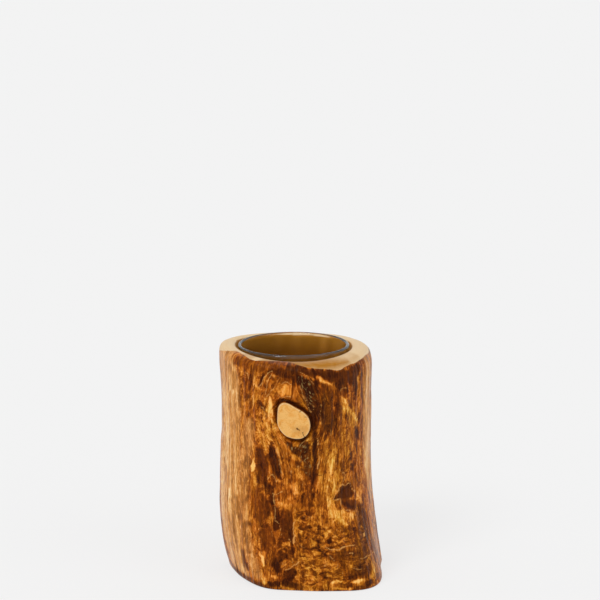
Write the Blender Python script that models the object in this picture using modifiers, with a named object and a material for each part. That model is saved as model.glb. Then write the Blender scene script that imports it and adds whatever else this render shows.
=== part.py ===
"""Olive wood vase: a length of debarked trunk, bored from its sawn top for a glass cylinder that lifts out.

Metres, +Z up. The origin is where the bore's axis meets the base. The front, with the sawn branch stub,
faces -Y. Angles round the trunk are in degrees from the front, positive towards +X.
"""

import math

import bmesh
import bpy

# Height of the wood and of what is left under the bore
HEIGHT = 0.1648
FLOOR = 0.019

# Glass cylinder
GLASS_RADIUS = 0.040
GLASS_WALL = 0.0026
GLASS_BASE = 0.007
GLASS_PROUD = 0.0015
GLASS_INNER_CORNER = 0.006
GLASS_OUTER_CORNER = 0.004
GLASS_FOOT_WIDTH = 0.005
GLASS_PUNT = 0.0012
GLASS_STEPS = 72
GLASS_CORNER_STEPS = 4
GLASS_LIP_STEPS = 5

# Fit of the glass in the bore
BORE_CLEARANCE = 0.0015
SEAT_GAP = 0.0003
BORE_CORNER = 0.003
BORE_EDGE = 0.0012

# Trunk: wood outside the bore, its centre line, and the foot that kicks out to the right
WALL = 0.0128
CENTRE_SHIFT = 0.0026
FOOT_KICK = 0.0078
FOOT_BEND = 0.065
SWELL = 0.0018
SWELL_HEIGHT = 0.034
SWELL_REACH = 0.033
WAIST = 0.0010
WAIST_HEIGHT = 0.112
WAIST_REACH = 0.032

# Root buttresses of the base: rise, angle, spread in degrees, and height that they fade over
ROOTS = (
    (0.0148, 41.0, 23.0, 0.037),
    (0.0056, -27.0, 21.0, 0.026),
    (0.0016, 8.0, 22.0, 0.026),
    (0.0034, 138.0, 34.0, 0.045),
    (0.0024, -118.0, 30.0, 0.036),
)

# Flutes of the trunk: rise, count round the trunk, angle of a crest, and height that turns them once
FLUTES = (
    (0.0010, 2, -38.0, 0.90),
    (0.0008, 3, 24.0, -1.10),
    (0.0005, 7, 9.0, 1.60),
    (0.0003, 11, 4.0, -2.40),
)

# Furrow that runs down beside the branch stub
FURROW_ANGLE = 11.2
FURROW_DRIFT = 20.0
FURROW_WIDTH = 0.0044
FURROW_DEPTH = 0.0021
FURROW_MIDDLE = -0.004
FURROW_REACH = 0.046

# Branch stub, sawn off flush: egg-shaped face, collar of callus, and ring between the two
KNOT_ANGLE = -3.9
KNOT_BELOW_TOP = 0.0420
STUB_RADIUS = 0.0122
STUB_STRETCH = 0.17
STUB_TAPER = 0.03
STUB_TILT = 137.0
STUB_PROUD = 0.0026
STUB_EDGE = 0.0012
COLLAR_RISE = 0.0028
COLLAR_REACH = 0.021
RING_OFFSET = 0.0022
RING_WIDTH = 0.0017
RING_DEPTH = 0.0019

# Sawn top: its slopes down to the right and the front, and how far its sides stand above its front and back
TOP_FALL = 0.022
TOP_NOD = 0.012
TOP_SADDLE = 0.0012

# Rounding of the top and base edges. The top is worn wider at the right, within a share of its wall
RIM_ROUND = 0.0046
RIM_WEAR = 0.0078
RIM_WEAR_ANGLE = 82.0
RIM_WEAR_SPREAD = 56.0
RIM_SHARE = 0.92
BASE_ROUND = 0.0018

# Spacing of the trunk's mesh, whose lines are drawn round about the branch stub, and the steps of its edges
COARSE_ANGLE = 5.6
COARSE_HEIGHT = 0.0062
WINDOW_BELOW_RIM = 0.0031
ROUND_STEPS = 4
BORE_STEPS = 3

# Colour and roughness of each finish, the wood's material slots, and the angle past which its edges look crisp
DEBARKED_FINISH = ((0.36, 0.17, 0.055), 0.40)
SAWN_FINISH = ((0.72, 0.48, 0.25), 0.50)
GLASS_FINISH = ((0.90, 0.95, 0.93), 0.03)
DEBARKED, SAWN = 0, 1
CRISP_ANGLE = 40.0

BORE_RADIUS = GLASS_RADIUS + BORE_CLEARANCE
TRUNK_RADIUS = BORE_RADIUS + WALL
GLASS_FOOT = FLOOR + SEAT_GAP
GLASS_HEIGHT = HEIGHT + GLASS_PROUD - GLASS_FOOT
KNOT_HEIGHT = HEIGHT - KNOT_BELOW_TOP
RING_REACH = STUB_RADIUS + 2.0 * RING_OFFSET
WINDOW_REACH = KNOT_BELOW_TOP - RIM_ROUND - RIM_WEAR - WINDOW_BELOW_RIM
ROUND_REACH = (3.0 * RING_REACH + WINDOW_REACH) / 4.0


def bell(offset, reach):
    """1 at no offset, falling smoothly to nothing a few reaches away."""
    return math.exp(-((offset / reach) ** 2))


def smooth_step(value):
    """0 below 0, 1 above 1, and a smooth rise between."""
    t = min(1.0, max(0.0, value))
    return t * t * (3.0 - 2.0 * t)


def turned(angle, other):
    """Degrees from other to angle, from -180 to 180."""
    return (angle - other + 180.0) % 360.0 - 180.0


def stepped(start, end, step):
    """Values after start and up to end, about a step apart."""
    count = max(1, round((end - start) / step))
    return [start + (end - start) * (i + 1) / count for i in range(count)]


def stub_lines():
    """Distances from the stub's centre of the mesh's lines on its face, edge, ring and collar."""
    edge = STUB_RADIUS - STUB_EDGE
    bottom = STUB_RADIUS + RING_OFFSET
    blend = (ROUND_REACH + WINDOW_REACH) / 2.0
    return [edge / 2.0, edge, STUB_RADIUS, bottom, RING_REACH, ROUND_REACH, blend, WINDOW_REACH]


def mesh_lines(low, high, step, middle, scale):
    """Values from low to high a step apart, but at the stub's lines, times scale, on both sides of middle."""
    near = [line * scale for line in stub_lines()]
    values = [low, *stepped(low, middle - near[-1], step)]
    values += [middle - line for line in reversed(near[:-1])] + [middle] + [middle + line for line in near]
    return values + stepped(values[-1], high, step)


def centre_x(z):
    """Where the trunk's centre line passes at a height: the foot kicks out to the right."""
    return CENTRE_SHIFT + FOOT_KICK * max(0.0, 1.0 - z / FOOT_BEND) ** 2


def top_height(x, y):
    """Height of the sawn top at a place."""
    return HEIGHT - TOP_FALL * x + TOP_NOD * y + TOP_SADDLE * (x * x - y * y) / BORE_RADIUS**2


def flutes(angle, z):
    """Low ribs that run up the trunk and turn a little with height."""
    return sum(
        rise * math.cos(count * math.radians(angle - crest + 360.0 * z / turn / count))
        for rise, count, crest, turn in FLUTES
    )


def roots(angle, z):
    """Buttresses of the roots, strongest at the base."""
    return sum(
        rise * bell(turned(angle, middle), spread) * bell(z, reach)
        for rise, middle, spread, reach in ROOTS
    )


def furrow(angle, z):
    """Depth of the furrow beside the branch stub."""
    above = z - KNOT_HEIGHT
    middle = FURROW_ANGLE + FURROW_DRIFT * above
    across = math.radians(turned(angle, middle)) * TRUNK_RADIUS
    return FURROW_DEPTH * bell(across, FURROW_WIDTH) * bell(above - FURROW_MIDDLE, FURROW_REACH)


def stub_radius(direction):
    """Radius of the sawn face's egg outline in a direction of its face, in degrees from +X towards +Z."""
    tilt = math.radians(direction - STUB_TILT)
    return STUB_RADIUS * (1.0 + STUB_STRETCH * math.cos(2.0 * tilt) + STUB_TAPER * math.cos(tilt))


def beyond_stub(angle, z):
    """Distance along the bark side from the sawn face's outline, negative on the face."""
    across = math.radians(turned(angle, KNOT_ANGLE)) * TRUNK_RADIUS
    above = z - KNOT_HEIGHT
    direction = math.degrees(math.atan2(above, across))
    return math.hypot(across, above) - stub_radius(direction)


def drawn_round(angle, z):
    """Moves a mesh point near the stub, so that square rings of the mesh become egg-shaped like its face."""
    across = math.radians(turned(angle, KNOT_ANGLE)) * TRUNK_RADIUS
    above = z - KNOT_HEIGHT
    ring = max(abs(across), abs(above))
    if ring < STUB_EDGE or ring >= WINDOW_REACH:
        return angle, z
    direction = math.degrees(math.atan2(above, across))
    egg = ring / math.hypot(across, above) * stub_radius(direction) / STUB_RADIUS
    share = 1.0 - smooth_step((ring - ROUND_REACH) / (WINDOW_REACH - ROUND_REACH))
    factor = 1.0 + (egg - 1.0) * share
    return KNOT_ANGLE + math.degrees(across * factor / TRUNK_RADIUS), KNOT_HEIGHT + above * factor


def trunk_radius(angle, z):
    """Distance of the trunk's surface from its centre line."""
    plain = TRUNK_RADIUS + flutes(angle, z) + roots(angle, z) - furrow(angle, z)
    plain += SWELL * bell(z - SWELL_HEIGHT, SWELL_REACH) - WAIST * bell(z - WAIST_HEIGHT, WAIST_REACH)
    beyond = beyond_stub(angle, z)
    collar = plain + COLLAR_RISE * bell(max(0.0, beyond), COLLAR_REACH)
    ringed = collar - RING_DEPTH * bell(beyond - RING_OFFSET, RING_WIDTH)
    face = (TRUNK_RADIUS + STUB_PROUD) / math.cos(math.radians(turned(angle, KNOT_ANGLE)))
    on_face = 1.0 - smooth_step((beyond + STUB_EDGE) / STUB_EDGE)
    return ringed + (face - ringed) * on_face if on_face > 0.0 else ringed


def trunk_point(angle, z, inset=0.0):
    """A point on the trunk's surface, or inset from it towards the centre line."""
    out = trunk_radius(angle, z) - inset
    turn = math.radians(angle)
    return (centre_x(z) + out * math.sin(turn), -out * math.cos(turn), z)


def rim_round(angle):
    """Radius of the worn top edge, largest at the right."""
    worn = RIM_ROUND + RIM_WEAR * bell(turned(angle, RIM_WEAR_ANGLE), RIM_WEAR_SPREAD)
    x, y, _ = trunk_point(angle, HEIGHT)
    return min(worn, RIM_SHARE * (math.hypot(x, y) - BORE_RADIUS - BORE_EDGE))


def shoulder_height(angle):
    """Height at which the outside starts to round over to the sawn top."""
    x, y, _ = trunk_point(angle, HEIGHT)
    return top_height(x, y) - rim_round(angle)


def rim_point(angle, up, inward):
    """A point of the worn top edge, whose arc reaches the sawn top at up = inward = 1."""
    size = rim_round(angle)
    x, y, _ = trunk_point(angle, shoulder_height(angle), size * inward)
    return (x, y, top_height(x, y) - size * (1.0 - up))


def mouth_point(angle, radius, below_top=0.0):
    """A point round the bore's axis, on the sawn top or below it."""
    turn = math.radians(angle)
    x, y = radius * math.sin(turn), -radius * math.cos(turn)
    return (x, y, top_height(x, y) - below_top)


def bore_point(angle, radius, z):
    """A point round the bore's axis at a height."""
    turn = math.radians(angle)
    return (radius * math.sin(turn), -radius * math.cos(turn), z)


def quarter(steps):
    """(sine, 1 - cosine) of evenly spaced angles from just past 0 up to a quarter turn."""
    turns = [math.pi / 2.0 * (i + 1) / steps for i in range(steps)]
    return [(math.sin(t), 1.0 - math.cos(t)) for t in turns]


def outer_rings(angles):
    """Rings of points from the base's edge up the outside and over the rim to the sawn top."""
    heights = mesh_lines(BASE_ROUND, HEIGHT - RIM_ROUND, COARSE_HEIGHT, KNOT_HEIGHT, 1.0)
    level = KNOT_HEIGHT + WINDOW_REACH
    shoulders = [shoulder_height(angle) for angle in angles]
    rings = []
    for up, inward in reversed(quarter(ROUND_STEPS)):
        rings.append([trunk_point(angle, BASE_ROUND * (1.0 - up), BASE_ROUND * inward) for angle in angles])
    for z in heights:
        share = max(0.0, (z - level) / (heights[-1] - level))
        spots = [(angle, min(z, level) + share * (top - level)) for angle, top in zip(angles, shoulders)]
        rings.append([trunk_point(*drawn_round(angle, height)) for angle, height in spots])
    for up, inward in quarter(ROUND_STEPS):
        rings.append([rim_point(angle, up, inward) for angle in angles])
    return rings


def inner_rings(angles):
    """Rings of points from the bore's mouth, over its eased edge and down its wall to the floor."""
    rings = [[mouth_point(angle, BORE_RADIUS + BORE_EDGE) for angle in angles]]
    for up, inward in quarter(BORE_STEPS):
        radius = BORE_RADIUS + BORE_EDGE * (1.0 - up)
        rings.append([mouth_point(angle, radius, BORE_EDGE * inward) for angle in angles])
    rings.append([bore_point(angle, BORE_RADIUS, FLOOR + BORE_CORNER) for angle in angles])
    for up, inward in quarter(BORE_STEPS):
        radius = BORE_RADIUS - BORE_CORNER * inward
        rings.append([bore_point(angle, radius, FLOOR + BORE_CORNER * (1.0 - up)) for angle in angles])
    return rings


def material(name, finish, metallic=0.0, transmission=0.0):
    """A material with the piece's plain colour and roughness."""
    colour, roughness = finish
    made = bpy.data.materials.new(name)
    made.use_nodes = True
    shader = made.node_tree.nodes["Principled BSDF"]
    shader.inputs["Base Color"].default_value = (*colour, 1.0)
    shader.inputs["Roughness"].default_value = roughness
    shader.inputs["Metallic"].default_value = metallic
    shader.inputs["Transmission Weight"].default_value = transmission
    return made


def add_object(name, data, collection):
    """Puts a mesh in the scene as a named object."""
    made = bpy.data.objects.new(name, data)
    collection.objects.link(made)
    return made


def is_stub_face(face):
    """True for a face of the outside that lies on the branch stub's sawn face."""
    middle = face.calc_center_median()
    angle = math.degrees(math.atan2(middle.x - centre_x(middle.z), -middle.y))
    return beyond_stub(angle, middle.z) < -STUB_EDGE / 2.0


def make_wood_body(collection):
    """The trunk, lofted ring by ring, with its rim, bore, branch stub and flat base in one closed surface."""
    angles = mesh_lines(-180.0, 180.0, COARSE_ANGLE, KNOT_ANGLE, math.degrees(1.0 / TRUNK_RADIUS))[:-1]
    outer = outer_rings(angles)
    rings = outer + inner_rings(angles)
    surface = bmesh.new()
    lower = [surface.verts.new(point) for point in rings[0]]
    surface.faces.new(reversed(lower)).material_index = SAWN
    for number, points in enumerate(rings[1:], 1):
        upper = [surface.verts.new(point) for point in points]
        for i, corner in enumerate(lower):
            j = (i + 1) % len(lower)
            face = surface.faces.new((corner, lower[j], upper[j], upper[i]))
            face.material_index = SAWN if number >= len(outer) or is_stub_face(face) else DEBARKED
        lower = upper
    surface.faces.new(lower).material_index = SAWN
    mesh = bpy.data.meshes.new("wood_body")
    surface.to_mesh(mesh)
    surface.free()
    mesh.materials.append(material("debarked_olive_wood", DEBARKED_FINISH))
    mesh.materials.append(material("sawn_olive_wood", SAWN_FINISH))
    mesh.shade_smooth()
    mesh.set_sharp_from_angle(angle=math.radians(CRISP_ANGLE))
    return add_object("wood_body", mesh, collection)


def arc(centre, radius, start, end, steps):
    """Points on an arc, from one angle to another in degrees."""
    turns = [math.radians(start + (end - start) * i / steps) for i in range(steps + 1)]
    return [(centre[0] + radius * math.cos(t), centre[1] + radius * math.sin(t)) for t in turns]


def glass_profile():
    """Half section of the glass: up from its inner floor, over the lip and down to its pushed-up foot."""
    lip = GLASS_WALL / 2.0
    inner = GLASS_RADIUS - GLASS_WALL - GLASS_INNER_CORNER
    profile = [(0.0, GLASS_BASE)]
    profile += arc((inner, GLASS_BASE + GLASS_INNER_CORNER), GLASS_INNER_CORNER, -90.0, 0.0, GLASS_CORNER_STEPS)
    profile += arc((GLASS_RADIUS - lip, GLASS_HEIGHT - lip), lip, 180.0, 0.0, GLASS_LIP_STEPS)
    outer = GLASS_RADIUS - GLASS_OUTER_CORNER
    profile += arc((outer, GLASS_OUTER_CORNER), GLASS_OUTER_CORNER, 0.0, -90.0, GLASS_CORNER_STEPS)
    foot = outer - GLASS_FOOT_WIDTH
    profile += [(foot, 0.0), (foot - 2.0 * GLASS_PUNT, GLASS_PUNT), (0.0, GLASS_PUNT)]
    return profile


def make_glass_insert(collection):
    """The glass cylinder, turned about the bore's axis. Its origin is on that axis, at its foot."""
    mesh = bpy.data.meshes.new("glass_insert")
    profile = glass_profile()
    mesh.from_pydata([(x, 0.0, z) for x, z in profile], [(i, i + 1) for i in range(len(profile) - 1)], [])
    mesh.materials.append(material("clear_glass", GLASS_FINISH, transmission=1.0))
    glass = add_object("glass_insert", mesh, collection)
    glass.location = (0.0, 0.0, GLASS_FOOT)
    turn = glass.modifiers.new("turn", "SCREW")
    turn.steps = turn.render_steps = GLASS_STEPS
    turn.use_merge_vertices = True
    turn.merge_threshold = 0.00001
    turn.use_smooth_shade = True
    return glass


def main():
    for old in list(bpy.data.objects):
        bpy.data.objects.remove(old)
    vase = bpy.data.collections.new("olive_wood_vase")
    bpy.context.scene.collection.children.link(vase)
    make_wood_body(vase)
    make_glass_insert(vase)


main()
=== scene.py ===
"""Looks of the olive wood vase: an oiled, debarked trunk, and the glass that stands loose in its bore.

Metres, +Z up. The bore's axis is the Z axis, and the front, with the branch stub, faces -Y. A place on the
trunk is given by its arc, in millimetres to the right of the front at the trunk's mean radius, and by its
height in millimetres.
"""

import math

import bpy
import numpy as np
from bpy.props import FloatProperty, FloatVectorProperty, IntProperty, PointerProperty
from mathutils import Matrix, Vector
from mathutils.bvhtree import BVHTree


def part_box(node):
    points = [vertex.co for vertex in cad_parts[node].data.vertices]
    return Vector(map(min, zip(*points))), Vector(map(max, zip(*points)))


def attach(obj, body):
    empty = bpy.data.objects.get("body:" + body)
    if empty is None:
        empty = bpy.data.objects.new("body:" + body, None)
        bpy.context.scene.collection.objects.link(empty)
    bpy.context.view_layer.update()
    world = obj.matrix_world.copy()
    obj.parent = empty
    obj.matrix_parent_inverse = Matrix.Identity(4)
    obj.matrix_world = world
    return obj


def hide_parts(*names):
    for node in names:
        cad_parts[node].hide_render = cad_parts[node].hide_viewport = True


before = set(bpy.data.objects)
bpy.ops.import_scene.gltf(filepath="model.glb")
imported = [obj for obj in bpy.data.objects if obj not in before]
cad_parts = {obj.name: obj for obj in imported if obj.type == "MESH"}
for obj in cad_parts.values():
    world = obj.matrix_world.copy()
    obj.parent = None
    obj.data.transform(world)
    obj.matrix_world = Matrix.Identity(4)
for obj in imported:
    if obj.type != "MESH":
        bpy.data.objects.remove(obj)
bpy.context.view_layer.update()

bl_info = {
    "name": "Olive wood vase",
    "version": (1, 0, 0),
    "blender": (4, 5, 0),
    "location": "View3D > Sidebar > Vase",
    "description": "Builds a wooden vase with its glass insert over their fixed solids",
    "category": "Add Mesh",
}

GLASS_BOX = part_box("glass_insert")
WOOD_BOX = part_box("wood_body")
MM = 0.001
TAU = 2.0 * math.pi

# Mean radius of the trunk, by which arcs become angles
TRUNK_RADIUS = 0.055

# Ring inside the wall from which the rim is measured, and a distance clear of the wood to measure it from
CORE_RADIUS = 0.0453
CORE_HEIGHT = 0.150
CLEAR = 0.12

# Smoothing that takes the solid's facets away: degrees round the wall and the rim, passes along each, and the
# shares of the way over the rim between which its passes fade out
WALL_BLUR, RIM_BLUR = 2.6, 2.2
WALL_PASSES, RIM_PASSES = 24, 10
RIM_SMOOTH, RIM_SHARP = 0.55, 0.68

# Rows of the mesh over the rim and down the bore, and those of base and floor as shares of their radius
RIM_ROWS = 46
BORE_ROWS = 12
BASE_SHARES = (0.15, 0.4, 0.65, 0.85, 0.96, 1.0)
FLOOR_SHARES = (0.75, 0.5, 0.25, 0.08)

# How far the base's flat ends inside its rounded edge, and how far the debarked skin lies under the solid's
FOOT_INSET = 0.0004
SKIN_INSET = 0.0002

# Radii in mm of the branch stub's sawn face, every 22.5 degrees from +X towards +Z
STUB_OUTLINE = (12.8, 11.3, 10.2, 9.9, 11.3, 14.4, 14.7, 12.2, 11.5, 11.1, 11.0, 11.3, 12.0, 13.3, 14.3, 13.9)

# Angles from the front up to which places are measured from the stub, and up to which its plane is followed
STUB_SIDE = 1.2
PLANE_SIDE = 1.4

# The wall under the stub is filled in, up to this far outside its face, from the wood just beyond
COLLAR_END = 0.0056
BESIDE_END = 0.009
FILL_PASSES = 900

# Groove round the stub's face: its depth, how far outside the face it lies and how far it spreads
GROOVE_DEPTH, GROOVE_OUT, GROOVE_SPREAD = 0.0019, 0.0016, 0.0012

# Dark ring in the groove: how far outside the face it lies and how far it spreads
RING_OUT, RING_SPREAD = 0.0010, 0.0011

# Arcs in mm over which the figure of the front fades out, and the freer figure of the back fades in
FRONT_FADE = (60.0, 80.0)
BACK_FADE = (78.0, 98.0)

# Half widths in mm of the thin lines
PALE_WIDTH = 0.52
DARK_WIDTH = 0.50

# Noise by name, as a sum of waves: seed, then the width and the height of its features in metres
WAVES = 56
RIPPLES = {
    "ridge": (11, 0.0042, 0.055),
    "fine ridge": (12, 0.0021, 0.030),
    "ragged sideways": (21, 0.0050, 0.010),
    "ragged sideways, finer": (22, 0.0024, 0.005),
    "ragged upwards": (23, 0.0060, 0.012),
    "broad tone": (31, 0.032, 0.050),
    "middling tone": (32, 0.010, 0.018),
    "sapwood": (33, 0.070, 0.300),
    "yellow": (34, 0.060, 0.080),
    "dark islands": (35, 0.015, 0.026),
    "bright islands": (36, 0.012, 0.024),
    "wandering": (41, 0.030, 0.090),
    "wandering, finer": (42, 0.009, 0.020),
}

# The camera's frame: its sensor in mm, its width in pixels and the focal length in pixels
SENSOR = 36.0
FRAME_WIDTH = 600.0
FOCAL_PIXELS = 2102.0

# The floor's disc
FLOOR_RADIUS = 14.0
FLOOR_CORNERS = 64

# Lamps: name, the setting with its strength, its angle to the right of the camera, its height and its spread
LAMPS = (
    ("key light", "key", -35.0, 45.0, 25.0),
    ("side light", "side", 60.0, 30.0, 40.0),
)

# The figure, in mm. A place is its arc and its height, and a spot has its half width after them. The spots or
# places of a row are joined into a chain, and a patch covers those before it.

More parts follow.
